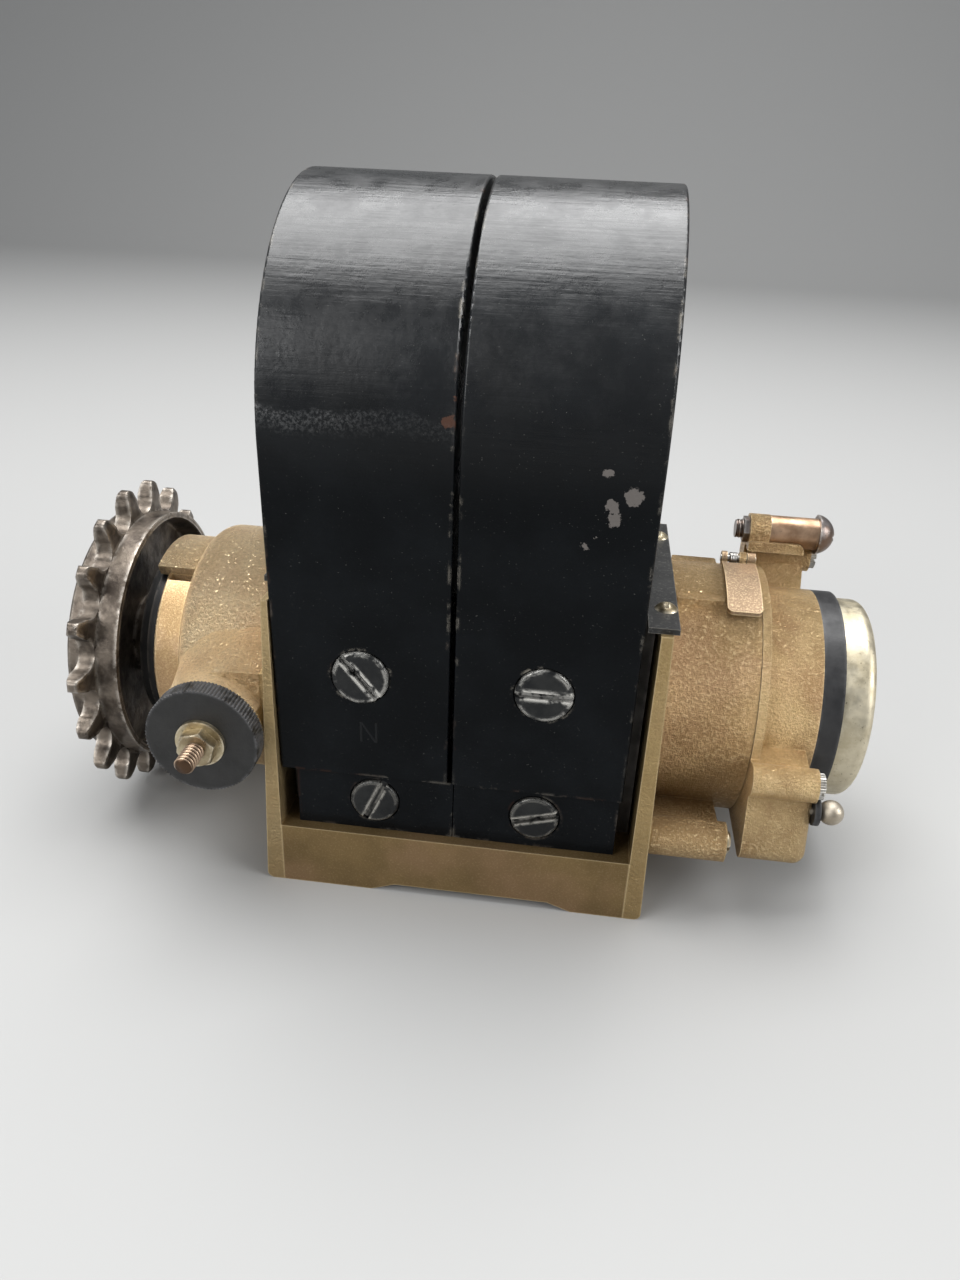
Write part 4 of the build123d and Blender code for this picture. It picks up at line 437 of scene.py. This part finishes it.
# steels, platings and hard rubber: what all of them share, and then each with its two colours in
# clouds, the scale and depth of its grain, the colour and width of its rubbed edges, and how dark its
# specks are
metal = {"speck": (0.05, 0.04, 0.03), "clouds": (180, 6, 0.65, 0.38, 0.64), "edgeWear": (0.008, 0.08),
         "edgePatches": (420, 4, 0.6, 0.38, 0.54), "edgeShare": 0.9,
         "specks": (1300, 4, 0.7, 0.62, 0.68), "smears": (300, 5, 0.6, 0.3, 0.7),
         "smearRange": (-0.08, 0.14), "grainNoise": (5, 0.6)}
metals = {
    "sprocketSteel": {"nodes": ["drive_sprocket"], "light": (0.17, 0.142, 0.115),
                      "dark": (0.058, 0.046, 0.037), "metallic": 0.85, "roughness": 0.40, "grain": 700,
                      "depth": 0.14 * mm, "edge": (0.46, 0.42, 0.37), "edgeRadius": 1.6 * mm,
                      "specks": 0.0},
    "oiledSteel": {"nodes": ["sprocket_key", "sprocket_washer", "sprocket_nut"],
                   "light": (0.045, 0.038, 0.032), "dark": (0.018, 0.016, 0.014), "metallic": 0.75,
                   "roughness": 0.40, "grain": 900, "depth": 0.10 * mm, "edge": (0.22, 0.20, 0.17),
                   "edgeRadius": 1 * mm, "specks": 0.0},
    "coverSteel": {"nodes": ["bearing_cover"], "light": (0.020, 0.019, 0.018),
                   "dark": (0.012, 0.012, 0.012), "metallic": 0.5, "roughness": 0.45, "grain": 900,
                   "depth": 0.05 * mm, "edge": (0.08, 0.07, 0.06), "edgeRadius": 1 * mm, "specks": 0.0},
    "screwSteel": {"nodes": ["magnet_screws"], "light": (0.020, 0.021, 0.021),
                   "dark": (0.008, 0.009, 0.010), "metallic": 0.5, "roughness": 0.34, "grain": 1200,
                   "depth": 0.10 * mm, "edge": (0.86, 0.84, 0.78), "edgeRadius": 1.5 * mm, "specks": 0.0},
    "blockScrewSteel": {"nodes": ["foot_block_screws", "end_frame_screws", "pole_shoe_screws"],
                        "light": (0.020, 0.021, 0.021), "dark": (0.008, 0.009, 0.010), "metallic": 0.5,
                        "roughness": 0.34, "grain": 1200, "depth": 0.10 * mm, "edge": (0.50, 0.48, 0.43),
                        "edgeRadius": 1.1 * mm, "specks": 0.0},
    "groundSteel": {"nodes": ["bearing_outer_rings", "bearing_inner_rings", "bearing_balls",
                              "drive_shaft", "breaker_shaft", "cam_ring", "brush_spring", "flap_spring",
                              "flap_pin", "stop_pin", "breaker_screw", "lever_pivot", "lever_spring"],
                    "light": (0.42, 0.41, 0.39), "dark": (0.30, 0.29, 0.27), "metallic": 1.0,
                    "roughness": 0.28, "grain": 2500, "depth": 0.01 * mm, "edge": (0.60, 0.58, 0.55),
                    "edgeRadius": 1 * mm, "specks": 0.0},
    "lugScrewSteel": {"nodes": ["lug_screws"], "light": (0.55, 0.53, 0.49), "dark": (0.36, 0.34, 0.30),
                      "metallic": 1.0, "roughness": 0.34, "grain": 2500, "depth": 0.02 * mm,
                      "edge": (0.75, 0.73, 0.68), "edgeRadius": 0.6 * mm, "specks": 0.3},
    "ballSteel": {"nodes": ["earth_terminal"], "light": (0.52, 0.47, 0.39), "dark": (0.36, 0.31, 0.24),
                  "metallic": 0.95, "roughness": 0.46, "grain": 2200, "depth": 0.03 * mm,
                  "edge": (0.62, 0.57, 0.48), "edgeRadius": 0.6 * mm, "specks": 0.3},
    "softIron": {"nodes": ["front_pole_shoe", "rear_pole_shoe", "armature_core"],
                 "light": (0.05, 0.047, 0.045), "dark": (0.03, 0.028, 0.026), "metallic": 0.6,
                 "roughness": 0.5, "grain": 900, "depth": 0.05 * mm, "edge": (0.12, 0.11, 0.10),
                 "edgeRadius": 1 * mm, "specks": 0.0},
    "wornPlating": {"nodes": ["terminal_nut", "terminal_washer", "cover_screws", "boss_screw"],
                    "light": (0.50, 0.43, 0.29), "dark": (0.30, 0.24, 0.15), "metallic": 0.95,
                    "roughness": 0.34, "grain": 1500, "depth": 0.03 * mm, "edge": (0.68, 0.61, 0.47),
                    "edgeRadius": 0.8 * mm, "specks": 0.4},
    "studBrass": {"nodes": ["terminal_stud"], "light": (0.38, 0.27, 0.18), "dark": (0.20, 0.14, 0.09),
                  "metallic": 0.9, "roughness": 0.36, "grain": 1500, "depth": 0.04 * mm,
                  "edge": (0.55, 0.44, 0.32), "edgeRadius": 0.4 * mm, "specks": 0.0},
    "sleeveBronze": {"nodes": ["control_sleeve"], "light": (0.50, 0.335, 0.22),
                     "dark": (0.33, 0.205, 0.125), "metallic": 0.9, "roughness": 0.38, "grain": 1200,
                     "depth": 0.04 * mm, "edge": (0.60, 0.45, 0.32), "edgeRadius": 0.8 * mm,
                     "specks": 0.3},
    "controlScrewSteel": {"nodes": ["control_screw", "control_nut"], "light": (0.26, 0.235, 0.225),
                          "dark": (0.15, 0.095, 0.065), "metallic": 0.9, "roughness": 0.36, "grain": 1200,
                          "depth": 0.06 * mm, "edge": (0.50, 0.47, 0.44), "edgeRadius": 0.8 * mm,
                          "specks": 0.5},
    "capNickel": {"nodes": ["end_cap"], "light": (0.64, 0.58, 0.44), "dark": (0.50, 0.44, 0.31),
                  "metallic": 1.0, "roughness": 0.42, "grain": 2200, "depth": 0.015 * mm,
                  "edge": (0.74, 0.68, 0.54), "edgeRadius": 1 * mm, "specks": 0.55},
    "windingCopper": {"nodes": ["armature_winding"], "light": (0.36, 0.15, 0.06),
                      "dark": (0.25, 0.10, 0.04), "metallic": 0.8, "roughness": 0.35, "grain": 2500,
                      "depth": 0.1 * mm, "edge": (0.40, 0.18, 0.08), "edgeRadius": 1 * mm, "specks": 0.0},
    "hardRubber": {"nodes": ["insulating_ring", "earth_terminal_washer", "slip_ring_spool", "condenser",
                             "carbon_brush"], "light": (0.020, 0.020, 0.021),
                   "dark": (0.012, 0.012, 0.013), "metallic": 0.0, "roughness": 0.42, "grain": 1600,
                   "depth": 0.02 * mm, "edge": (0.06, 0.06, 0.06), "edgeRadius": 1 * mm, "specks": 0.0},
    "knobRubber": {"nodes": ["brush_holder"], "light": (0.012, 0.0118, 0.0115),
                   "dark": (0.007, 0.0070, 0.0070), "metallic": 0.0, "roughness": 0.46, "grain": 1900,
                   "depth": 0.07 * mm, "edge": (0.085, 0.085, 0.088), "edgeRadius": 0.8 * mm,
                   "specks": 0.0},
}


def makeMetal(name, look):
    roughness = look["roughness"]
    material, tree, shader, where = newFinish(name, look["light"], look["metallic"], roughness)
    colour = blend(tree, patches(tree, where, metal["clouds"]), look["light"], look["dark"])
    rubbed = edgeWear(tree, look["edgeRadius"], *metal["edgeWear"])
    edges = calc(tree, "MULTIPLY", rubbed, patches(tree, where, metal["edgePatches"]))
    colour = blend(tree, scaled(tree, edges, metal["edgeShare"]), colour, look["edge"])
    if look["specks"]:
        specks = scaled(tree, patches(tree, where, metal["specks"]), look["specks"])
        colour = blend(tree, specks, colour, metal["speck"])
    smoothest, roughest = (roughness + change for change in metal["smearRange"])
    smears = patches(tree, where, metal["smears"], smoothest, roughest)
    tree.links.new(colour, shader.inputs["Base Color"])
    tree.links.new(smears, shader.inputs["Roughness"])
    relief(tree, shader, noise(tree, where, look["grain"], *metal["grainNoise"]), look["depth"])
    return material


for name, look in metals.items():
    setFinish(makeMetal(name, look), *look["nodes"])
print("finishes made:", len(bpy.data.materials))

mergeDistance = 1e-7


def gridPiece(name, points, body, finish):
    # joins a grid of points into a closed smooth surface: the second way round runs back into itself,
    # and the ends are closed by rows that shrink to one point or by a last row that lies on the first
    rows, turns = points.shape[:2]
    first = np.arange(rows - 1)[:, None] * turns
    here = np.arange(turns)[None, :]
    after = (here + 1) % turns
    corners = [first + here, first + after, first + turns + after, first + turns + here]
    faces = np.stack(corners, -1).reshape(-1, 4)
    mesh = bpy.data.meshes.new(name)
    mesh.from_pydata(points.reshape(-1, 3).tolist(), [], faces.tolist())
    work = bmesh.new()
    work.from_mesh(mesh)
    bmesh.ops.remove_doubles(work, verts=work.verts, dist=mergeDistance)
    bmesh.ops.recalc_face_normals(work, faces=work.faces)
    work.to_mesh(mesh)
    work.free()
    mesh.polygons.foreach_set("use_smooth", [True] * len(mesh.polygons))
    mesh.materials.append(finish)
    item = bpy.data.objects.new(name, mesh)
    bpy.context.scene.collection.objects.link(item)
    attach(item, body)
    return item


def finishOf(node):
    return nodes[node].data.materials[0]


# what both threads share: metal painted dark in the grooves as shade, cloudy on the crests
threadLook = {"metallic": 0.9, "roughness": 0.34, "grooves": (0.25, 0.85),
              "clouds": (500, 4, 0.6, 0.3, 0.7), "cloudRange": (0.65, 1.0)}


def makeThreadFinish(name, thread, axes, middle):
    # the distance from the screw's axis picks the colour: painted shade in the grooves, the light colour
    # on the crests
    material, tree, shader, where = newFinish(name, thread["light"], threadLook["metallic"],
                                              threadLook["roughness"])
    first = calc(tree, "SUBTRACT", axisOf(tree, where, axes[0]), middle[0])
    second = calc(tree, "SUBTRACT", axisOf(tree, where, axes[1]), middle[1])
    squares = [calc(tree, "MULTIPLY", side, side) for side in (first, second)]
    reach = calc(tree, "SQRT", calc(tree, "ADD", *squares))
    core, crest = thread["form"]["core"], thread["form"]["crest"]
    low, high = (core + (crest - core) * share for share in threadLook["grooves"])
    raised = ramp(tree, reach, low, high)
    cloud = patches(tree, where, threadLook["clouds"], *threadLook["cloudRange"])
    colour = blend(tree, calc(tree, "MULTIPLY", raised, cloud), thread["dark"], thread["light"])
    tree.links.new(colour, shader.inputs["Base Color"])
    return material


# the terminal's stud: its radius swings between core and crest with the distance along it less the turn
# about it, so the crests climb as a thread; the swing fades out at the tip and behind the nut
stud = {"light": (0.60, 0.44, 0.31), "dark": (0.085, 0.050, 0.030),
        "form": {"core": 1.42 * mm, "crest": 1.94 * mm, "pitch": 0.9 * mm, "chamfer": 0.25 * mm,
                 "turns": 44, "perPitch": 12}}


def threadPoints(start, end, core, crest, pitch, chamfer, turns, perPitch):
    count = int(abs(end - start) / pitch * perPitch) + 2
    along = np.linspace(start, end, count)[:, None]
    about = np.linspace(0, 2 * math.pi, turns, endpoint=False)[None, :]
    phase = ((along - start) / pitch - about / (2 * math.pi)) % 1.0
    swing = 1 - np.abs(2 * phase - 1)
    fade = np.clip(np.minimum(np.abs(along - start), np.abs(end - along)) / chamfer, 0, 1)
    radius = core + (crest - core) * swing * fade
    radius = np.concatenate([np.zeros((1, turns)), radius, np.zeros((1, turns))])
    along = np.concatenate([along[:1], along, along[-1:]]) + 0 * about
    return along, radius * np.cos(about), radius * np.sin(about)


def makeStud():
    low, high = (np.array(corner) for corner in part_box("terminal_stud"))
    x, z = (low[0] + high[0]) / 2, (low[2] + high[2]) / 2
    along, across, upward = threadPoints(high[1], low[1], **stud["form"])
    finish = makeThreadFinish("studThread", stud, "XZ", (x, z))
    item = gridPiece("threadedStud", np.stack([x + across, along, z + upward], -1), "frame", finish)
    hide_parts("terminal_stud")


makeStud()


# the control screw's free end: the same thread, a shell around the plain end of the solid screw
controlThread = {"light": (0.42, 0.36, 0.32), "dark": (0.075, 0.045, 0.030), "inset": 0.01 * mm,
                 "intoNut": 0.2 * mm,
                 "form": {"core": 1.88 * mm, "crest": 2.08 * mm, "pitch": 0.8 * mm, "chamfer": 0.3 * mm,
                          "turns": 40, "perPitch": 9}}


def makeControlThread():
    low, high = (np.array(corner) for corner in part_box("control_screw"))
    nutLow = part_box("control_nut")[0]
    y, z = (low[1] + high[1]) / 2, (low[2] + high[2]) / 2
    start, end = low[0] + controlThread["inset"], nutLow[0] + controlThread["intoNut"]
    along, across, upward = threadPoints(start, end, **controlThread["form"])
    finish = makeThreadFinish("controlScrewThread", controlThread, "YZ", (y, z))
    gridPiece("controlThread", np.stack([along, y + across, z + upward], -1), "timing", finish)


makeControlThread()


# the flap's spring: a tube whose middle climbs along X as it circles the pin, drawn to a point at both
# ends
coil = {"wire": 0.26 * mm, "middle": 1.08 * mm, "turns": 4.5, "steps": 150, "around": 10, "taper": 0.01}


def makeFlapSpring():
    low, high = (np.array(corner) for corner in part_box("flap_spring"))
    y, z = (low[1] + high[1]) / 2, (low[2] + high[2]) / 2
    share = np.linspace(0, 1, coil["steps"])[:, None]
    about = np.linspace(0, 2 * math.pi, coil["around"], endpoint=False)[None, :]
    thickness = np.clip(np.minimum(share, 1 - share) / coil["taper"], 0, 1)
    wire = coil["wire"] * np.sqrt(thickness)
    angle = 2 * math.pi * coil["turns"] * share + 0 * about
    run = low[0] + coil["wire"] + (high[0] - low[0] - 2 * coil["wire"]) * share
    radius = coil["middle"] + wire * np.cos(about)
    along = run + wire * np.sin(about)
    points = np.stack([along, y + radius * np.cos(angle), z + radius * np.sin(angle)], -1)
    item = gridPiece("flapCoil", points, "frame", finishOf("flap_spring"))
    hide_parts("flap_spring")


makeFlapSpring()


# the drive sprocket with open gaps between its teeth: a profile turned about the shaft, cut back
# wherever it stands outside the gap's outline. Half a gap is a circle of the chain's roller about a
# point on the pitch circle, a straight flank and a rounded corner, mirrored and repeated; a tooth's
# side rises straight and then as a quarter ellipse
sprocket = {"teeth": 18, "pitch": 11.05 * mm, "roller": 3.5 * mm, "height": 3.3 * mm,
            "thickness": 3.5 * mm, "bevel": 1.0 * mm, "rise": 2.6 * mm, "tipThickness": 2.9 * mm,
            "tipRounding": 1.2 * mm, "rimWidth": 2.8 * mm, "rimRounding": 0.7 * mm, "web": 3.0 * mm,
            "cupDepth": 4.6 * mm, "cupWall": 1.2 * mm, "cupSlope": 0.8 * mm, "hub": 9.6 * mm,
            "boreOut": 5.62 * mm, "boreIn": 7.43 * mm, "firstGap": 3.75, "sharpAngle": 32}


def gapOutline():
    # angles from the gap's middle and distances from the shaft, from the gap's bottom to the tooth
    half = math.pi / sprocket["teeth"]
    pitchRadius = sprocket["pitch"] / (2 * math.sin(half))
    roller, rounding = sprocket["roller"], sprocket["tipRounding"]
    tip = pitchRadius + sprocket["height"]
    swing = np.linspace(0, math.pi / 2, 12)
    seat = np.stack([pitchRadius - roller * np.cos(swing), roller * np.sin(swing)], -1)
    swing = np.linspace(0, math.pi / 2, 7)
    along = tip - rounding * (1 - np.sin(swing))
    across = sprocket["tipThickness"] / 2 - rounding * (1 - np.cos(swing))
    corner = np.stack([along * math.cos(half) + across * math.sin(half),
                       along * math.sin(half) - across * math.cos(half)], -1)
    share = np.linspace(0, 1, 5)[1:-1, None]
    points = np.concatenate([seat, seat[-1] + (corner[0] - seat[-1]) * share, corner])
    angle = np.maximum.accumulate(np.arctan2(points[:, 1], points[:, 0]))
    reach = np.hypot(points[:, 0], points[:, 1])
    return np.append(angle, half), np.append(reach, tip + rounding), pitchRadius, tip


def sprocketProfile(start, end, root, tip):
    # the closed profile as distances along the shaft and from it
    x0 = start + sprocket["rimWidth"]
    x1 = x0 + sprocket["thickness"]
    cupEnd = x1 + sprocket["cupDepth"]
    cup = root - sprocket["cupWall"]
    r, bevel, rise = sprocket["rimRounding"], sprocket["bevel"], sprocket["rise"]
    swing = np.linspace(0, math.pi / 2, 5)
    rim = [(start + r * (1 - math.cos(a)), root - r + r * math.sin(a)) for a in swing]
    straight = [(0.0, root + rise * share) for share in np.linspace(0, 1, 6)[:-1]]
    swing = np.linspace(0, math.pi / 2, 10)
    foot = root + rise
    curved = [(bevel * (1 - math.cos(a)), foot + (tip - foot) * math.sin(a)) for a in swing]
    side = straight + curved
    profile = [(x0, sprocket["boreOut"]), (x0, cup), (start, cup)] + rim
    profile += [(x0 + x, radius) for x, radius in side]
    profile += [(x1 - x, radius) for x, radius in reversed(side)]
    profile += [(cupEnd, root), (cupEnd, cup), (x0 + sprocket["web"], cup - sprocket["cupSlope"]),
                (x0 + sprocket["web"], sprocket["hub"]), (end, sprocket["hub"]), (end, sprocket["boreIn"]),
                (x0, sprocket["boreOut"])]
    return np.array(profile)


def makeSprocket():
    low, high = (np.array(corner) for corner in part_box("drive_sprocket"))
    angle, reach, pitchRadius, tip = gapOutline()
    root = pitchRadius - sprocket["roller"]
    profile = sprocketProfile(low[0], high[0], root, tip)
    gapAngle = np.concatenate([-angle[:0:-1], angle[:-1]])
    gapReach = np.concatenate([reach[:0:-1], reach[:-1]])
    turns = np.arange(sprocket["teeth"]) / sprocket["teeth"]
    starts = math.radians(sprocket["firstGap"]) + 2 * math.pi * turns
    about = (starts[:, None] + gapAngle[None, :]).ravel()[None, :]
    cut = np.tile(gapReach, sprocket["teeth"])[None, :]
    along = profile[:, :1] + 0 * about
    radius = np.minimum(profile[:, 1:], cut)
    points = np.stack([along, radius * np.cos(about), shaftHeight + radius * np.sin(about)], -1)
    item = gridPiece("toothedSprocket", points, "rotor", finishOf("drive_sprocket"))
    item.data.set_sharp_from_angle(angle=math.radians(sprocket["sharpAngle"]))
    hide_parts("drive_sprocket")


makeSprocket()
print("computed pieces made")


# floor, light and camera
studio = {"floorColour": (0.36, 0.36, 0.355), "floorRoughness": 0.6, "wallDistance": 1.1,
          "coveRadius": 0.5, "wallHeight": 1.6, "halfWidth": 2.2, "nearEdge": -1.2,
          "airColour": (0.8, 0.82, 0.85, 1), "airStrength": 0.45, "target": (0, 0, 0.06)}
lights = {"overhead": {"place": (-0.10, 0.20, 0.95), "size": (1.1, 0.8), "energy": 18.0},
          "frontFill": {"place": (-0.7, -0.8, 0.6), "size": (0.6, 0.6), "energy": 6.0},
          "rightFill": {"place": (0.9, -0.3, 0.5), "size": (0.5, 0.5), "energy": 6.0}}


def makeFloor():
    # a sheet whose profile is a straight floor, then a quarter circle of the cove radius, then a
    # straight wall
    run = [studio["nearEdge"], studio["wallDistance"]]
    turn = np.linspace(0, math.pi / 2, 24)[1:]
    r = studio["coveRadius"]
    wall = studio["wallDistance"]
    depth = np.concatenate([run, wall + r * np.sin(turn), [wall + r]])
    height = np.concatenate([[0, 0], r * (1 - np.cos(turn)), [studio["wallHeight"]]])
    across = np.array([-studio["halfWidth"], studio["halfWidth"]])
    count = len(depth)
    across = np.tile(across[:, None], (1, count))
    points = np.stack([across, np.tile(depth, (2, 1)), np.tile(height, (2, 1))], -1)
    first = np.arange(count - 1)
    faces = np.stack([first, first + count, first + count + 1, first + 1], -1)
    mesh = bpy.data.meshes.new("studioFloor")
    mesh.from_pydata(points.reshape(-1, 3).tolist(), [], faces.tolist())
    mesh.polygons.foreach_set("use_smooth", [True] * len(faces))
    floor = bpy.data.objects.new("studioFloor", mesh)
    bpy.context.scene.collection.objects.link(floor)
    paper = newFinish("studioPaper", studio["floorColour"], 0.0, studio["floorRoughness"])[0]
    mesh.materials.append(paper)


makeFloor()


def addLight(name, place, size, energy):
    light = bpy.data.lights.new(name, "AREA")
    light.shape = "RECTANGLE"
    light.size, light.size_y = size
    light.energy = energy
    item = bpy.data.objects.new(name, light)
    item.location = place
    towards = Vector(studio["target"]) - Vector(place)
    item.rotation_euler = towards.to_track_quat("-Z", "Y").to_euler()
    bpy.context.scene.collection.objects.link(item)


for name, light in lights.items():
    addLight(name, **light)
world = bpy.data.worlds.new("studioAir")
world.use_nodes = True
world.node_tree.nodes["Background"].inputs["Color"].default_value = studio["airColour"]
world.node_tree.nodes["Background"].inputs["Strength"].default_value = studio["airStrength"]
bpy.context.scene.world = world

# the camera as it was fitted to the photo: angles in degrees, lens and sensor in millimetres
cameraPose = {"place": (20.07 * mm, -194.18 * mm, 140.56 * mm), "yaw": -6.02, "pitch": -26.99,
              "roll": 2.60, "lens": 27.2, "sensorWidth": 36, "clipStart": 0.01}


def makeCamera():
    # forward from yaw and pitch, then right and up turned about it by the roll
    yaw, pitch, roll = (math.radians(cameraPose[key]) for key in ("yaw", "pitch", "roll"))
    flat = Vector((math.sin(yaw), math.cos(yaw), 0)) * math.cos(pitch)
    forward = flat + Vector((0, 0, math.sin(pitch)))
    level = Vector((math.cos(yaw), -math.sin(yaw), 0))
    upright = level.cross(forward)
    right = level * math.cos(roll) + upright * math.sin(roll)
    up = upright * math.cos(roll) - level * math.sin(roll)
    data = bpy.data.cameras.new("photoCamera")
    data.lens = cameraPose["lens"]
    data.sensor_width = cameraPose["sensorWidth"]
    data.clip_start = cameraPose["clipStart"]
    item = bpy.data.objects.new("photoCamera", data)
    turn = Matrix((right, up, -forward)).transposed().to_4x4()
    item.matrix_world = Matrix.Translation(cameraPose["place"]) @ turn
    bpy.context.scene.collection.objects.link(item)
    bpy.context.scene.camera = item


makeCamera()
bpy.context.scene.view_settings.view_transform = "Standard"
print("studio ready")
